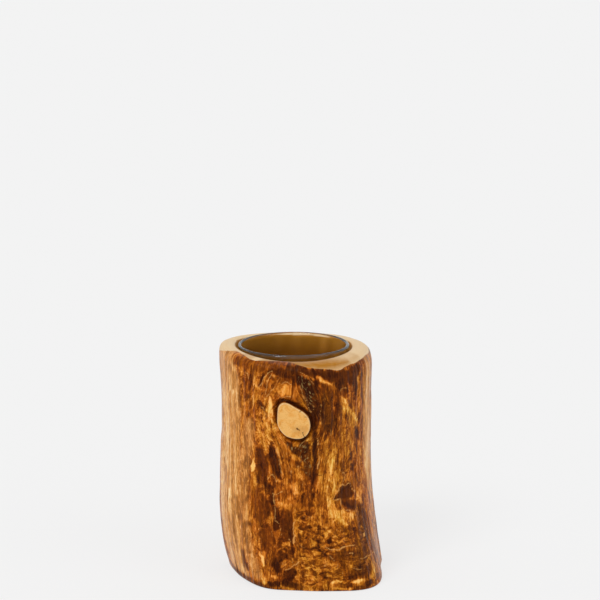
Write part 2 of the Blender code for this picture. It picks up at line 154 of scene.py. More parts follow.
# Patches of tone in the debarked wood, some of them painted light or shade as their names say: name, tone,
# soft edge, spots
PATCHES = (
    ("sapwood at the left", 0.2, 2.1, (-51.3, 161.5, 7.7), (-52.6, 132.2, 9.1), (-52.3, 103.0, 10.5),
     (-51.3, 73.9, 9.8), (-49.5, 44.8, 11.2), (-46.1, 15.3, 9.8), (-34.3, 7.0, 6.3)),
    ("tan round the right", 0.18, 5.0, (68.0, 152.0, 5.0), (69.0, 130.0, 5.5), (71.0, 108.0, 6.0),
     (75.0, 86.0, 6.0), (79.0, 70.0, 5.0)),
    ("tan round the left", 0.12, 6.0, (-70.0, 160.0, 8.0), (-70.0, 140.0, 8.0)),
    # The next two patches are tan sapwood lightened further towards the left side's outline: painted light
    # laid over the sapwood's tan.
    ("light tan left flank", 0.5, 4.0, (-66.0, 131.0, 6.0), (-67.0, 110.0, 8.0), (-66.0, 86.0, 6.0)),
    ("pale tan round the left", 0.34, 5.0, (-75.0, 124.0, 7.0), (-76.0, 100.0, 8.0), (-76.0, 70.0, 8.0),
     (-74.0, 40.0, 8.0), (-66.0, 14.0, 8.0)),
    ("tan at the left of the stub", 0.18, 2.1, (-31.6, 121.3, 6.3), (-30.3, 106.9, 7.0)),
    ("orange left flank", 0.22, 2.1, (-35.9, 84.2, 4.9), (-36.9, 58.6, 4.9), (-32.8, 37.4, 5.6),
     (-27.3, 18.7, 5.6), (-22.2, 6.4, 4.2)),
    ("brown below the rim", -0.1, 0.7, (-47.0, 161.5, 3.5), (-37.3, 160.7, 3.8), (-23.7, 160.8, 3.8),
     (-8.5, 161.2, 3.1)),
    ("dark band right of it", -0.64, 0.7, (-3.9, 160.2, 2.1), (4.7, 158.8, 2.4), (13.4, 156.9, 2.1)),
    ("orange over the stub", 0.12, 1.4, (-17.0, 151.6, 4.9), (-9.5, 146.5, 5.6), (-0.9, 145.5, 4.2),
     (3.2, 140.7, 2.8)),
    ("bright in the eye", 0.52, 1.0, (-8.7, 143.7, 2.1), (-5.2, 145.3, 3.1), (-3.0, 143.3, 2.1)),
    ("red round it", -0.14, 0.8, (-14.7, 147.5, 1.4), (-10.3, 152.0, 1.8), (-3.8, 153.0, 2.1),
     (1.1, 150.4, 2.1)),
    ("red beside the eye", -0.1, 0.8, (-19.9, 145.7, 1.4), (-17.6, 141.7, 1.8), (-13.1, 139.2, 1.0)),
    ("orange flank of the eye", 0.16, 1.0, (-26.3, 142.9, 4.2), (-27.9, 138.5, 3.5)),
    ("maroon under the rim", -0.56, 0.7, (13.3, 156.2, 1.8), (23.6, 154.1, 2.4), (34.6, 151.5, 4.2),
     (44.9, 151.5, 5.6), (51.7, 156.0, 3.5)),
    ("dark under the edge", -0.74, 0.6, (11.1, 158.1, 1.3), (20.7, 156.5, 2.0), (30.6, 154.1, 2.2)),
    ("maroon point", -0.66, 0.8, (33.0, 147.4, 2.8), (35.4, 142.1, 1.5)),
    ("maroon point at the right", -0.62, 0.8, (47.0, 148.2, 3.5), (49.5, 140.5, 2.1), (48.7, 134.8, 1.1)),
    ("grey brown at the shoulder", -0.18, 1.4, (59.4, 159.3, 2.1), (71.4, 158.9, 2.1)),
    ("eye's dark arc", -0.5, 0.6, (-25.6, 147.3, 0.7), (-23.3, 151.7, 0.9), (-20.2, 156.2, 1.0),
     (-15.7, 158.3, 1.0), (-6.8, 158.4, 1.5)),
    ("dark over the eye", -0.6, 0.8, (-11.9, 156.1, 1.4), (-5.3, 155.7, 2.2), (1.8, 154.6, 3.1)),
    ("dark over the eye left", -0.42, 0.8, (-17.1, 153.7, 1.4), (-12.6, 152.6, 1.5)),
    ("black beside the eye", -0.8, 1.0, (2.5, 153.2, 2.8), (7.4, 150.4, 3.1), (10.9, 144.5, 3.8),
     (13.0, 135.8, 3.5), (15.0, 126.2, 2.8)),
    ("black right of it", -0.76, 0.8, (10.3, 151.6, 2.4), (14.7, 147.7, 4.2), (17.5, 141.9, 5.2),
     (18.1, 134.8, 4.9), (17.4, 126.9, 3.1), (16.1, 120.5, 2.1)),
    ("brown column", -0.4, 1.4, (20.5, 147.3, 2.8), (22.0, 141.5, 4.2), (24.1, 133.5, 4.9),
     (25.6, 122.5, 4.9), (24.9, 112.5, 2.8)),
    ("orange in the corner", 0.12, 0.7, (6.0, 156.7, 0.8), (9.6, 154.5, 1.0), (12.5, 150.7, 0.9)),
    ("golden diagonal", 0.72, 0.6, (16.6, 154.3, 0.6), (19.8, 151.6, 1.5), (23.6, 149.2, 0.8),
     (28.3, 148.0, 0.6)),
    ("orange under the diagonal", 0.06, 0.8, (21.3, 147.2, 1.4), (27.5, 145.9, 2.1), (30.6, 143.4, 1.8)),
    ("tan edge at the right", 0.38, 1.0, (65.5, 150.2, 1.4), (66.5, 139.7, 2.4), (65.7, 129.6, 3.5),
     (70.3, 113.8, 3.5), (70.5, 98.9, 3.5), (69.3, 84.5, 3.8), (75.0, 67.9, 3.5), (89.3, 50.8, 2.8)),
    ("ochre above the gold", -0.12, 1.0, (37.1, 141.2, 2.1), (43.4, 138.7, 2.4)),
    ("dark above the gold", -0.42, 0.8, (32.2, 142.5, 1.8), (33.0, 137.4, 1.8)),
    ("golden patch", 0.55, 0.8, (38.0, 136.7, 1.3), (39.8, 132.1, 2.4), (40.4, 126.2, 1.7)),
    ("dark stroke beside it", -0.62, 0.7, (32.2, 133.2, 0.8), (33.0, 128.0, 2.0), (33.9, 124.3, 1.1)),
    ("orange middle right", 0.08, 2.1, (40.2, 117.5, 4.9), (39.4, 106.0, 5.6), (40.3, 94.2, 5.6),
     (40.0, 81.2, 5.6)),
    ("ochre middle right", 0.28, 1.4, (46.9, 102.4, 2.1), (42.2, 93.8, 2.1)),
    ("ochre beside the gold", 0.24, 1.0, (35.1, 92.1, 1.8), (35.6, 80.5, 2.1), (34.5, 72.0, 1.8)),
    ("ochre beside the fleck", 0.34, 1.0, (48.5, 99.1, 1.8), (48.4, 93.3, 1.8)),
    ("maroon fleck", -0.72, 0.6, (49.6, 112.8, 1.3), (52.6, 107.7, 2.2), (55.8, 102.3, 1.0)),
    ("dark fleck", -0.8, 0.5, (45.6, 95.4, 1.0), (45.8, 90.9, 0.8)),
    ("dark fleck below", -0.75, 0.5, (46.1, 87.2, 1.0), (46.2, 83.6, 1.0)),
    ("dark streak", -0.3, 0.6, (35.5, 91.4, 0.6), (37.1, 86.7, 0.9), (38.2, 79.3, 0.6)),
    ("dark streak one", -0.55, 0.6, (20.5, 140.2, 0.8), (20.2, 128.9, 1.0), (20.9, 120.2, 0.8),
     (19.9, 111.6, 0.8)),
    ("dark streak two", -0.55, 0.6, (24.2, 135.6, 0.7), (24.0, 119.9, 0.8)),
    ("dark streak three", -0.6, 0.6, (31.4, 129.0, 0.7), (31.4, 120.3, 1.1), (30.7, 110.2, 0.9)),
    ("golden right column", 0.42, 1.4, (27.7, 95.4, 2.1), (28.5, 88.7, 3.5), (26.8, 78.8, 4.5),
     (25.7, 68.9, 4.2)),
    ("bright core", 0.75, 0.8, (28.1, 88.8, 1.1), (26.0, 80.3, 1.3), (24.6, 71.9, 1.4), (25.5, 65.3, 1.0)),
    ("golden island", 0.62, 0.8, (26.2, 63.1, 2.4), (28.0, 56.5, 3.1), (29.1, 51.5, 2.1)),
    ("golden island at the right", 0.66, 0.7, (35.4, 54.8, 1.4), (37.3, 51.0, 2.7), (43.5, 51.8, 1.5),
     (37.8, 45.3, 1.8)),
    ("golden island two", 0.62, 1.0, (31.7, 55.3, 1.8), (32.6, 50.3, 2.1), (37.2, 46.1, 2.1)),
    ("golden fleck", 0.45, 0.7, (51.2, 65.0, 1.3), (50.6, 60.8, 2.0)),
    ("dark knot blob", -0.56, 0.3, (37.7, 69.5, 3.9), (41.6, 69.2, 4.3), (43.4, 67.5, 3.6),
     (35.7, 66.1, 2.4), (30.2, 65.7, 1.0)),
    ("brown mass", -0.34, 0.6, (39.5, 60.8, 3.5), (43.8, 58.1, 3.5), (48.9, 57.6, 2.5), (52.6, 53.1, 3.5),
     (54.4, 46.1, 5.6), (51.1, 38.6, 6.3), (45.8, 31.9, 5.6), (45.9, 25.1, 4.9)),
    ("dark in the brown mass", -0.6, 0.8, (42.8, 42.2, 1.4), (42.3, 37.6, 1.8)),
    ("burl ground", 0.0, 1.8, (10.7, 57.5, 5.6), (9.8, 44.7, 6.3), (22.5, 50.9, 3.5), (24.6, 40.9, 4.9),
     (33.0, 38.6, 4.9), (30.3, 33.4, 3.5)),
    ("golden burl lights", 0.28, 1.0, (12.0, 53.9, 1.8), (31.1, 34.7, 2.1), (6.5, 51.9, 1.4)),
    ("dark line in the burl", -0.85, 0.4, (16.7, 47.2, 0.6), (16.7, 38.7, 0.8), (16.5, 32.4, 0.7)),
    ("dark pit one", -0.75, 0.6, (23.8, 35.4, 1.3), (25.1, 39.4, 0.7)),
    ("dark pit two", -0.6, 0.6, (9.8, 46.5, 1.0), (11.9, 46.1, 0.8)),
    ("dark pit three", -0.6, 0.6, (8.4, 40.1, 1.0)),
    ("crease", -0.7, 0.6, (7.0, 31.2, 0.6), (14.2, 31.5, 0.6), (19.8, 28.7, 0.8), (29.5, 27.4, 0.6),
     (36.7, 27.2, 0.6)),
    ("lower burl", 0.06, 1.0, (7.0, 23.3, 4.2), (9.5, 14.7, 4.9), (12.5, 7.4, 4.9), (15.8, 21.8, 3.5),
     (21.6, 14.5, 3.5), (24.7, 18.7, 3.5), (22.6, 5.1, 2.8)),
    ("burl edge", -0.14, 1.0, (3.1, 33.9, 1.8), (3.0, 26.0, 2.1), (3.7, 20.2, 2.1)),
    ("burl light low", 0.34, 1.0, (8.8, 16.1, 2.1), (10.7, 10.3, 2.8)),
    ("gold foot middle", 0.36, 0.8, (11.9, 4.4, 2.1), (16.8, 4.1, 2.1)),
    ("burl light", 0.22, 0.8, (22.9, 27.8, 1.4), (26.7, 29.0, 1.4)),
    ("purple pit", -0.72, 0.6, (19.1, 26.6, 2.0), (20.9, 25.1, 0.8)),
    ("dark pit four", -0.62, 0.6, (18.0, 13.2, 1.7), (19.8, 11.0, 1.0)),
    ("brown lower right", -0.32, 1.0, (29.4, 26.0, 2.4), (36.1, 23.9, 3.5), (42.7, 24.0, 3.5),
     (39.1, 17.3, 3.8), (33.4, 11.9, 2.0), (41.0, 10.7, 3.1)),
    ("dark lower right", -0.56, 0.7, (38.1, 18.9, 1.3), (44.1, 15.4, 1.1), (42.6, 12.4, 1.1),
     (33.3, 10.5, 1.0)),
    ("orange in it", -0.02, 1.0, (30.1, 16.3, 2.8), (26.0, 11.5, 2.8)),
    ("bright bar", 0.85, 0.5, (34.0, 6.2, 0.7), (37.2, 7.3, 1.1), (39.9, 7.5, 0.6)),
    ("bright bar at its left", 0.72, 0.5, (23.7, 5.8, 0.9), (27.0, 7.6, 0.8), (28.5, 7.9, 0.5)),
    ("dark foot right", -0.6, 0.8, (36.9, 2.3, 1.4), (41.3, 2.9, 2.1), (44.7, 4.8, 1.8)),
    ("reddish foot", -0.15, 0.7, (28.0, 5.0, 1.4), (33.0, 4.8, 1.4)),
    ("yellow foot", 0.5, 0.6, (25.8, 2.4, 0.7), (33.9, 2.0, 0.7)),
    ("right face of the root", -0.08, 1.0, (62.3, 24.2, 3.5), (56.0, 15.9, 3.5), (50.1, 7.1, 3.5)),
    ("gold flecks on it", 0.55, 0.6, (52.0, 14.7, 0.7), (51.6, 12.8, 0.8), (49.4, 8.8, 0.8),
     (49.9, 6.5, 0.6)),
    ("tan edge of the root", 0.02, 1.0, (78.2, 43.0, 1.4), (75.8, 30.3, 1.4), (72.9, 20.1, 1.4)),
    ("furrow", -0.7, 0.7, (13.9, 139.3, 2.1), (15.0, 123.3, 2.0), (15.0, 109.0, 1.5), (15.4, 94.4, 1.3),
     (15.3, 83.5, 1.0), (12.9, 75.1, 0.8), (12.3, 70.9, 1.0), (13.8, 66.5, 0.7)),
    ("dark beside the furrow", -0.62, 0.8, (7.3, 105.4, 3.5), (8.8, 97.2, 3.8), (10.0, 89.0, 2.8),
     (11.8, 81.6, 1.7)),
    ("dark under the stub", -0.66, 0.8, (-3.8, 107.3, 1.1), (-0.3, 103.2, 2.1), (3.9, 100.4, 2.8)),
    ("black spot", -0.85, 0.6, (6.9, 69.0, 1.7), (7.4, 65.4, 1.8), (8.4, 61.8, 0.9)),
    ("maroon patch", -0.46, 0.6, (-26.9, 101.6, 1.5), (-24.5, 96.0, 3.9), (-23.3, 88.9, 5.0),
     (-23.7, 82.3, 4.2), (-26.1, 77.3, 2.5)),
    ("black patch", -0.8, 0.6, (-16.3, 107.1, 1.1), (-15.3, 99.9, 2.5), (-14.3, 93.4, 3.8),
     (-12.1, 86.9, 3.2), (-9.5, 80.6, 1.7)),
    ("gold between them", 0.5, 0.6, (-19.6, 102.1, 1.1), (-19.1, 99.6, 1.1)),
    ("dark under them", -0.72, 0.6, (-20.5, 76.1, 2.0), (-17.4, 73.5, 2.2), (-16.1, 67.1, 1.7),
     (-14.9, 62.2, 1.1)),
    ("brown left middle", -0.03, 0.8, (-27.5, 71.0, 4.2), (-26.5, 63.9, 5.6), (-25.5, 56.9, 5.6)),
    ("maroon left middle", -0.4, 0.8, (-23.4, 67.2, 1.8), (-20.2, 61.1, 2.4), (-18.6, 54.0, 2.4)),
    ("dark left middle", -0.72, 0.7, (-13.4, 58.7, 2.0), (-11.8, 52.4, 2.7), (-12.5, 45.8, 2.4)),
    ("brown low middle", -0.2, 0.8, (-25.4, 51.1, 4.9), (-20.6, 41.5, 5.9), (-17.4, 31.7, 5.6),
     (-14.3, 23.4, 4.2)),
    ("maroon low middle", -0.46, 0.8, (-5.3, 55.7, 3.8), (-4.5, 47.9, 4.5), (-5.2, 39.9, 4.2),
     (-8.0, 33.2, 3.5)),
    ("dark low middle", -0.82, 0.6, (-2.4, 44.4, 1.4), (-1.3, 37.3, 1.5), (-0.3, 30.1, 1.4),
     (-0.3, 25.1, 1.1)),
    ("gold square", 0.28, 0.6, (-6.6, 33.3, 1.8), (-4.5, 33.4, 2.1)),
    ("dark under the square", -0.7, 0.7, (-9.4, 27.3, 2.1), (-5.8, 25.4, 2.4), (-11.4, 22.2, 2.1)),
    ("reddish patch", -0.08, 0.7, (-11.3, 67.5, 2.5), (-6.8, 67.8, 2.1)),
    ("brown by the jag", -0.26, 1.0, (-13.6, 76.7, 2.1), (-9.1, 74.1, 2.8), (-10.5, 70.4, 2.1)),
    ("gold under it", 0.55, 0.7, (-10.5, 63.2, 1.4), (-8.2, 62.0, 1.8)),
    ("orange below the stub", 0.0, 1.0, (-6.7, 102.1, 3.5), (-5.3, 93.3, 3.5), (-5.4, 83.1, 4.2),
     (-4.6, 73.0, 4.2)),
    ("brown line below the stub", -0.32, 0.6, (-9.0, 96.0, 0.8), (-3.1, 94.9, 1.0), (1.8, 93.0, 1.0)),
    ("gold column below the stub", 0.45, 0.8, (2.5, 87.9, 1.4), (3.9, 80.6, 2.1), (1.8, 72.6, 2.8),
     (-1.7, 76.1, 1.0)),
    ("red in the column", -0.18, 0.6, (0.4, 86.3, 1.1), (0.4, 79.8, 1.8)),
    ("orange low column", 0.06, 1.0, (3.2, 62.6, 2.8), (2.5, 51.9, 2.1), (3.1, 41.1, 2.4)),
    ("brown right of the column", -0.24, 1.4, (-1.0, 92.1, 2.4), (4.6, 91.6, 2.8), (8.9, 89.8, 2.1)),
    ("red low column", -0.3, 0.8, (9.5, 66.8, 2.1), (9.4, 60.4, 2.4), (7.3, 54.7, 2.1)),
    ("black low", -0.9, 0.6, (-12.0, 17.9, 2.8), (-10.6, 14.4, 2.0)),
    ("black foot", -0.8, 0.6, (-16.2, 4.4, 1.7), (-11.9, 4.8, 2.2)),
    ("dark foot", -0.74, 0.7, (-4.4, 12.5, 2.9), (-0.3, 14.2, 2.4), (-5.1, 5.9, 2.5), (1.0, 4.0, 1.8)),
    ("orange round", 0.1, 0.6, (-5.1, 19.7, 2.5), (-1.0, 21.4, 2.1)),
    ("pale foot", 0.78, 0.6, (-19.8, 7.6, 1.1), (-19.9, 4.6, 1.5)),
    ("pale foot two", 0.6, 0.6, (-14.0, 10.2, 1.1), (-11.9, 9.6, 1.4)),
    ("pale foot three", 0.6, 0.5, (-8.8, 5.7, 0.6), (-8.6, 2.8, 0.6)),
    ("pale fleck", 0.8, 0.5, (1.4, 10.6, 0.8), (2.4, 8.8, 0.6)),
    ("bright streak one", 0.95, 0.5, (-24.1, 25.9, 0.7), (-22.4, 22.5, 1.0), (-20.4, 17.8, 0.6)),
    ("bright streak two", 0.85, 0.5, (-42.9, 60.4, 0.6), (-42.1, 51.0, 0.7), (-42.5, 40.5, 0.6)),
    ("bright streak three", 0.95, 0.5, (-57.0, 67.4, 0.6), (-56.9, 60.8, 1.0), (-57.9, 53.8, 0.6)),
    ("bright streak four", 0.62, 0.5, (-49.6, 154.5, 0.4), (-49.4, 145.9, 0.6), (-50.9, 136.9, 0.4)),
    ("brown left foot", -0.25, 0.8, (-42.1, 21.8, 1.1), (-39.2, 15.6, 1.5), (-36.1, 11.1, 1.0)),
    ("dark grain left foot", -0.55, 0.4, (-34.9, 27.3, 0.5), (-33.7, 24.6, 0.6)),
    ("olive streak", -0.28, 1.0, (-51.9, 59.1, 1.1), (-49.9, 50.7, 2.1), (-50.3, 41.7, 2.2),
     (-49.3, 32.9, 2.2), (-47.9, 25.6, 1.7)),
    ("olive streak above", -0.22, 0.8, (-68.7, 85.8, 1.1), (-65.2, 79.3, 1.8), (-63.1, 72.4, 1.1)),
    ("brown sap streak", -0.2, 0.8, (-45.8, 120.4, 1.0), (-45.0, 110.3, 1.7), (-46.2, 99.8, 1.1)),
    ("brown sap streak low", -0.22, 0.8, (-39.6, 44.1, 1.0), (-36.8, 34.4, 1.8), (-34.0, 24.6, 1.1)),
    ("red sap streak", -0.16, 0.8, (-37.8, 108.6, 1.1), (-37.0, 98.6, 1.8), (-38.8, 89.5, 1.1)),
    ("brown streak left top", -0.16, 0.8, (-43.4, 155.6, 1.3), (-43.0, 142.6, 1.5), (-44.3, 130.1, 1.3)),
    ("dark fleck left top", -0.35, 0.6, (-58.4, 143.3, 0.6), (-57.7, 139.9, 0.8)),
    ("dark beside the gold", -0.45, 0.6, (-33.0, 153.5, 0.6), (-33.3, 145.6, 0.9), (-34.4, 137.5, 0.8)),
    ("gold spot", 0.68, 0.6, (-29.3, 146.5, 1.0), (-27.6, 145.3, 0.8)),
    ("brown under the eye", -0.5, 0.7, (-26.1, 135.8, 1.3), (-22.9, 131.9, 2.1), (-20.6, 129.3, 1.3)),
    ("pale streak left of stub", 0.75, 0.5, (-30.7, 138.8, 0.6), (-30.0, 134.6, 0.9), (-30.0, 131.0, 0.6)),
    ("golden band by the stub", 0.78, 0.6, (-16.8, 138.9, 1.1), (-16.6, 133.0, 1.8), (-16.3, 126.4, 1.8),
     (-14.8, 120.0, 1.3), (-12.4, 115.2, 0.9)),
    ("pale streak below it", 0.72, 0.5, (-22.9, 119.7, 0.6), (-21.6, 114.0, 0.8), (-21.3, 110.3, 0.6)),
    ("brown beside the stub", -0.12, 0.7, (-29.8, 120.9, 1.8), (-28.2, 115.3, 1.4)),
    ("golden beside the stub", 0.4, 1.0, (-22.9, 126.9, 1.4), (-20.6, 122.8, 2.4), (-19.6, 114.2, 2.8),
     (-20.2, 105.3, 2.5), (-20.4, 99.4, 1.7)),
    ("tan under the stub left", 0.3, 1.0, (-14.9, 123.0, 2.1), (-12.8, 116.5, 2.4), (-8.2, 111.2, 1.8)),
    ("brown streak in the flank", -0.1, 1.4, (-34.1, 91.8, 2.1), (-34.4, 81.6, 2.8), (-35.5, 72.7, 3.1),
     (-39.0, 63.3, 3.8), (-41.7, 55.5, 2.4)),
    ("red right of the spot", -0.34, 1.0, (8.9, 81.8, 1.4), (9.6, 73.2, 1.8), (10.9, 64.6, 2.8),
     (10.7, 56.8, 2.8)),
    ("brown foot left", -0.1, 1.4, (-42.8, 25.4, 2.1), (-41.4, 18.1, 2.8), (-38.8, 11.1, 2.8)),
    ("pale triangle", 0.92, 0.3, (-31.0, 93.3, 0.3), (-31.4, 89.3, 1.2), (-31.5, 85.6, 1.8)),
    ("tan under the triangle", 0.35, 0.6, (-31.2, 80.6, 1.8), (-30.3, 77.9, 1.4)),
    ("dark at the triangle", -0.55, 0.6, (-35.9, 84.9, 1.0), (-33.0, 83.2, 0.6)),
    ("stub face", 0.0, 0.4, (-4.3, 132.3, 6.3), (-0.9, 125.9, 8.4), (3.8, 122.4, 6.3)),
    # Painted shade on the stub's face, darker towards its lower right.
    ("stub face shaded", -0.24, 1.8, (2.4, 117.4, 2.8), (6.4, 116.7, 3.5)),
    ("greyer grain at the top left", -0.24, 1.4, (-54.2, 155.8, 2.4), (-49.3, 150.3, 3.1),
     (-50.7, 142.0, 2.4)),
    ("light streak left inner", 0.24, 0.8, (-46.5, 115.8, 1.0), (-46.2, 104.2, 1.4), (-47.8, 92.2, 1.1)),
    ("light streak left inner high", 0.42, 0.7, (-39.0, 134.6, 1.0), (-40.1, 117.0, 1.1)),
    ("gold diagonal right", 0.6, 0.6, (42.7, 129.0, 1.0), (46.9, 123.9, 1.3), (51.5, 117.5, 1.1),
     (53.1, 114.6, 0.8)),
    ("dark streak right of the stub", -0.62, 0.6, (21.2, 138.7, 0.7), (21.4, 130.2, 0.9),
     (20.9, 120.2, 0.8)),
    ("dark streak further right", -0.66, 0.6, (31.4, 135.4, 0.7), (32.2, 128.9, 0.9), (33.5, 122.9, 0.7)),
    ("maroon low blob", -0.78, 0.6, (36.5, 61.0, 1.1), (39.3, 59.0, 1.8), (43.6, 57.1, 1.3)),
    ("dark edge of the burl", -0.45, 0.7, (3.8, 40.8, 1.3), (5.1, 36.2, 1.2)),
    ("gold streak beside the stub", 0.62, 1.1, (-19.0, 130.2, 1.3), (-16.6, 124.2, 2.0),
     (-12.0, 117.3, 2.2)),
    ("gold streak left of that", 0.44, 1.1, (-26.3, 121.4, 1.7), (-26.2, 111.9, 2.2), (-15.6, 108.7, 1.8)),
    ("brown under the sawn edge", -0.62, 1.0, (1.9, 160.6, 1.7), (11.2, 158.5, 1.8)),
    ("brown under the sawn edge right", -0.62, 1.0, (19.4, 158.3, 1.5), (29.2, 155.7, 1.5)),
    ("brown grain right of the crest", -0.36, 1.0, (21.3, 147.2, 1.7), (25.9, 144.7, 2.2),
     (28.2, 138.7, 1.8), (34.6, 139.3, 1.3)),
    ("brown notch right top", -0.46, 1.0, (39.1, 148.1, 1.5), (40.5, 141.4, 1.5)),
    ("brown beside the tan right", -0.36, 1.0, (55.5, 150.9, 1.5), (56.4, 144.2, 1.7), (59.0, 129.0, 1.4)),
    ("light right of middle", 0.2, 1.3, (56.2, 114.2, 1.5), (56.3, 98.1, 1.4), (57.0, 81.8, 2.2),
     (57.9, 66.9, 2.0)),
    ("dark fold right of the black line", -0.5, 0.9, (8.7, 138.4, 1.4), (9.0, 134.8, 1.4)),
    ("dark right of the furrow", -0.62, 0.9, (8.5, 92.0, 1.3), (9.3, 88.3, 1.4)),
    ("brown cracks right", -0.22, 0.9, (27.0, 110.0, 1.4), (26.8, 102.8, 1.8), (26.4, 97.7, 1.3)),
    ("brown left of the maroon", -0.18, 1.4, (-40.8, 88.4, 1.7), (-35.8, 83.5, 2.1), (-33.8, 79.5, 1.7)),
    ("brown left flank low", -0.22, 1.5, (-47.3, 62.4, 2.2), (-45.3, 52.5, 2.9), (-39.6, 43.4, 2.7),
     (-32.9, 46.2, 1.7)),
    ("brown left foot grain", -0.62, 0.9, (-42.4, 24.0, 1.3), (-42.0, 18.0, 1.8), (-41.7, 12.6, 1.4)),
    ("brown right of the burl", -0.24, 1.4, (18.7, 44.9, 1.7), (17.7, 38.7, 2.5), (13.7, 37.5, 1.5)),
    ("brown right low", -0.22, 1.4, (35.9, 43.6, 2.0), (36.0, 36.8, 2.4), (43.8, 36.5, 2.5)),
    ("brown right foot grain", -0.38, 1.0, (48.1, 17.6, 1.5), (45.7, 12.1, 1.8)),
    ("light foot left", 0.8, 0.7, (-22.6, 6.7, 1.1), (-19.9, 4.6, 1.4)),
    ("light right of the middle crack", 0.5, 1.0, (27.0, 73.0, 1.7), (24.8, 66.1, 1.7)),
    ("shade under the root", -0.45, 1.2, (-74.0, 5.0, 2.0), (-62.0, 2.0, 3.2), (-50.0, 1.5, 3.2),
     (-40.0, 1.5, 3.4), (-32.0, 1.5, 3.2), (-26.0, 1.0, 2.8), (-20.0, 0.5, 2.0)),
)

# Tan sapwood: share, soft edge, spots
SAPWOOD = (
    (1.0, 2.1, (-66.1, 166.8, 9.8), (-53.2, 146.6, 9.1), (-53.4, 117.4, 9.1), (-53.4, 88.1, 8.4),
     (-53.3, 58.7, 8.4), (-51.4, 29.2, 8.4), (-47.4, 11.0, 6.3), (-40.0, 6.1, 4.2)),
    (0.5, 2.1, (-34.6, 117.2, 4.9), (-37.9, 98.4, 4.9), (-40.4, 76.1, 4.2), (-39.6, 47.1, 4.9),
     (-35.0, 25.8, 4.9), (-28.4, 11.0, 4.9)),
    (1.0, 1.4, (67.0, 158.5, 3.5), (62.6, 141.4, 3.5), (64.4, 122.6, 4.2), (65.2, 100.3, 4.2),
     (66.1, 81.7, 4.2), (71.8, 61.5, 3.1), (78.2, 43.0, 1.8)),
    (0.9, 5.0, (70.0, 152.0, 8.0), (71.0, 130.0, 7.0), (73.0, 108.0, 9.0), (77.0, 86.0, 7.5),
     (81.0, 70.0, 5.0)),
    (1.0, 5.0, (-70.0, 160.0, 12.0), (-70.0, 130.0, 9.0), (-71.0, 100.0, 11.0), (-70.0, 70.0, 8.0),
     (-66.0, 40.0, 10.0), (-58.0, 14.0, 9.0)),
    # Less sapwood along the base's lower left, so that the painted shade under the root there is brown.
    (0.1, 1.2, (-74.0, 5.0, 2.0), (-62.0, 2.0, 3.2), (-50.0, 1.5, 3.2), (-40.0, 1.5, 3.4),
     (-32.0, 1.5, 3.2), (-26.0, 1.0, 2.8), (-20.0, 0.5, 2.0)),
)

# Burled areas: share, soft edge, spots
BURLS = (
    (1.0, 2.1, (5.9, 55.5, 4.2), (7.8, 43.3, 5.6), (24.5, 39.5, 6.3), (34.1, 37.0, 4.2), (9.5, 23.3, 6.3),
     (11.9, 10.3, 7.7), (22.9, 15.9, 6.3), (29.1, 8.6, 4.2)),
    (0.6, 2.8, (-7.4, 51.3, 4.2), (-9.5, 33.1, 4.9), (-5.8, 21.1, 5.6), (-2.3, 10.4, 5.6)),
    (0.5, 2.1, (-8.1, 147.9, 4.9), (-24.6, 142.4, 3.5), (-29.3, 75.1, 2.1)),
    (0.8, 2.1, (34.6, 22.1, 4.9), (41.0, 16.9, 4.9)),
    (0.8, 2.1, (51.4, 45.6, 3.5), (48.2, 32.6, 4.9)),
)

# Olive speckles: share, soft edge, spots
SPECKLES = (
    (1.0, 1.4, (6.0, 152.5, 2.8), (10.2, 146.7, 3.5), (12.4, 138.0, 2.8)),
    (1.0, 1.4, (-2.4, 105.3, 2.1), (4.5, 103.4, 4.2), (8.9, 94.9, 3.5), (11.1, 86.0, 2.1)),
)

# Areas whose figure is faint: share, soft edge, spots
PLAIN = (
    (0.6, 1.4, (-43.0, 161.3, 3.5), (-28.5, 160.4, 4.2), (-13.7, 160.7, 3.5), (-1.0, 159.9, 2.4),
     (13.4, 156.9, 2.1), (26.8, 153.8, 2.8), (38.7, 151.7, 4.9), (49.0, 152.2, 4.2)),
    (0.75, 0.8, (38.6, 69.9, 3.5), (42.0, 67.8, 3.5), (36.6, 66.6, 2.5), (38.6, 60.6, 2.9),
     (43.8, 58.1, 2.5)),
    (0.6, 1.0, (-28.3, 70.2, 3.5), (-27.3, 61.7, 4.5), (-23.9, 54.2, 4.2)),
    (0.6, 1.4, (-18.3, 39.6, 4.9), (-4.5, 50.0, 4.2)),
    (0.6, 1.4, (-26.1, 99.5, 2.1), (-23.7, 88.8, 4.9)),
    (0.5, 1.0, (-8.7, 143.7, 2.1), (-3.7, 144.7, 2.8)),
)

# Oiled end grain of the sawn top: share, soft edge, spots
STAINS = (
    (1.0, 3.5, (-25.4, 163.5, 1.0), (-15.9, 163.4, 1.0), (-2.8, 162.8, 2.1), (6.6, 162.1, 2.4),
     (17.3, 161.4, 3.1), (28.6, 161.2, 3.5), (35.0, 161.0, 2.8), (41.4, 161.2, 2.1), (45.5, 161.3, 1.4)),
    (0.45, 2.1, (-46.8, 165.3, 1.4), (-36.1, 164.3, 1.4)),
    (0.35, 2.1, (49.5, 161.6, 2.1), (58.6, 162.7, 2.1)),
)

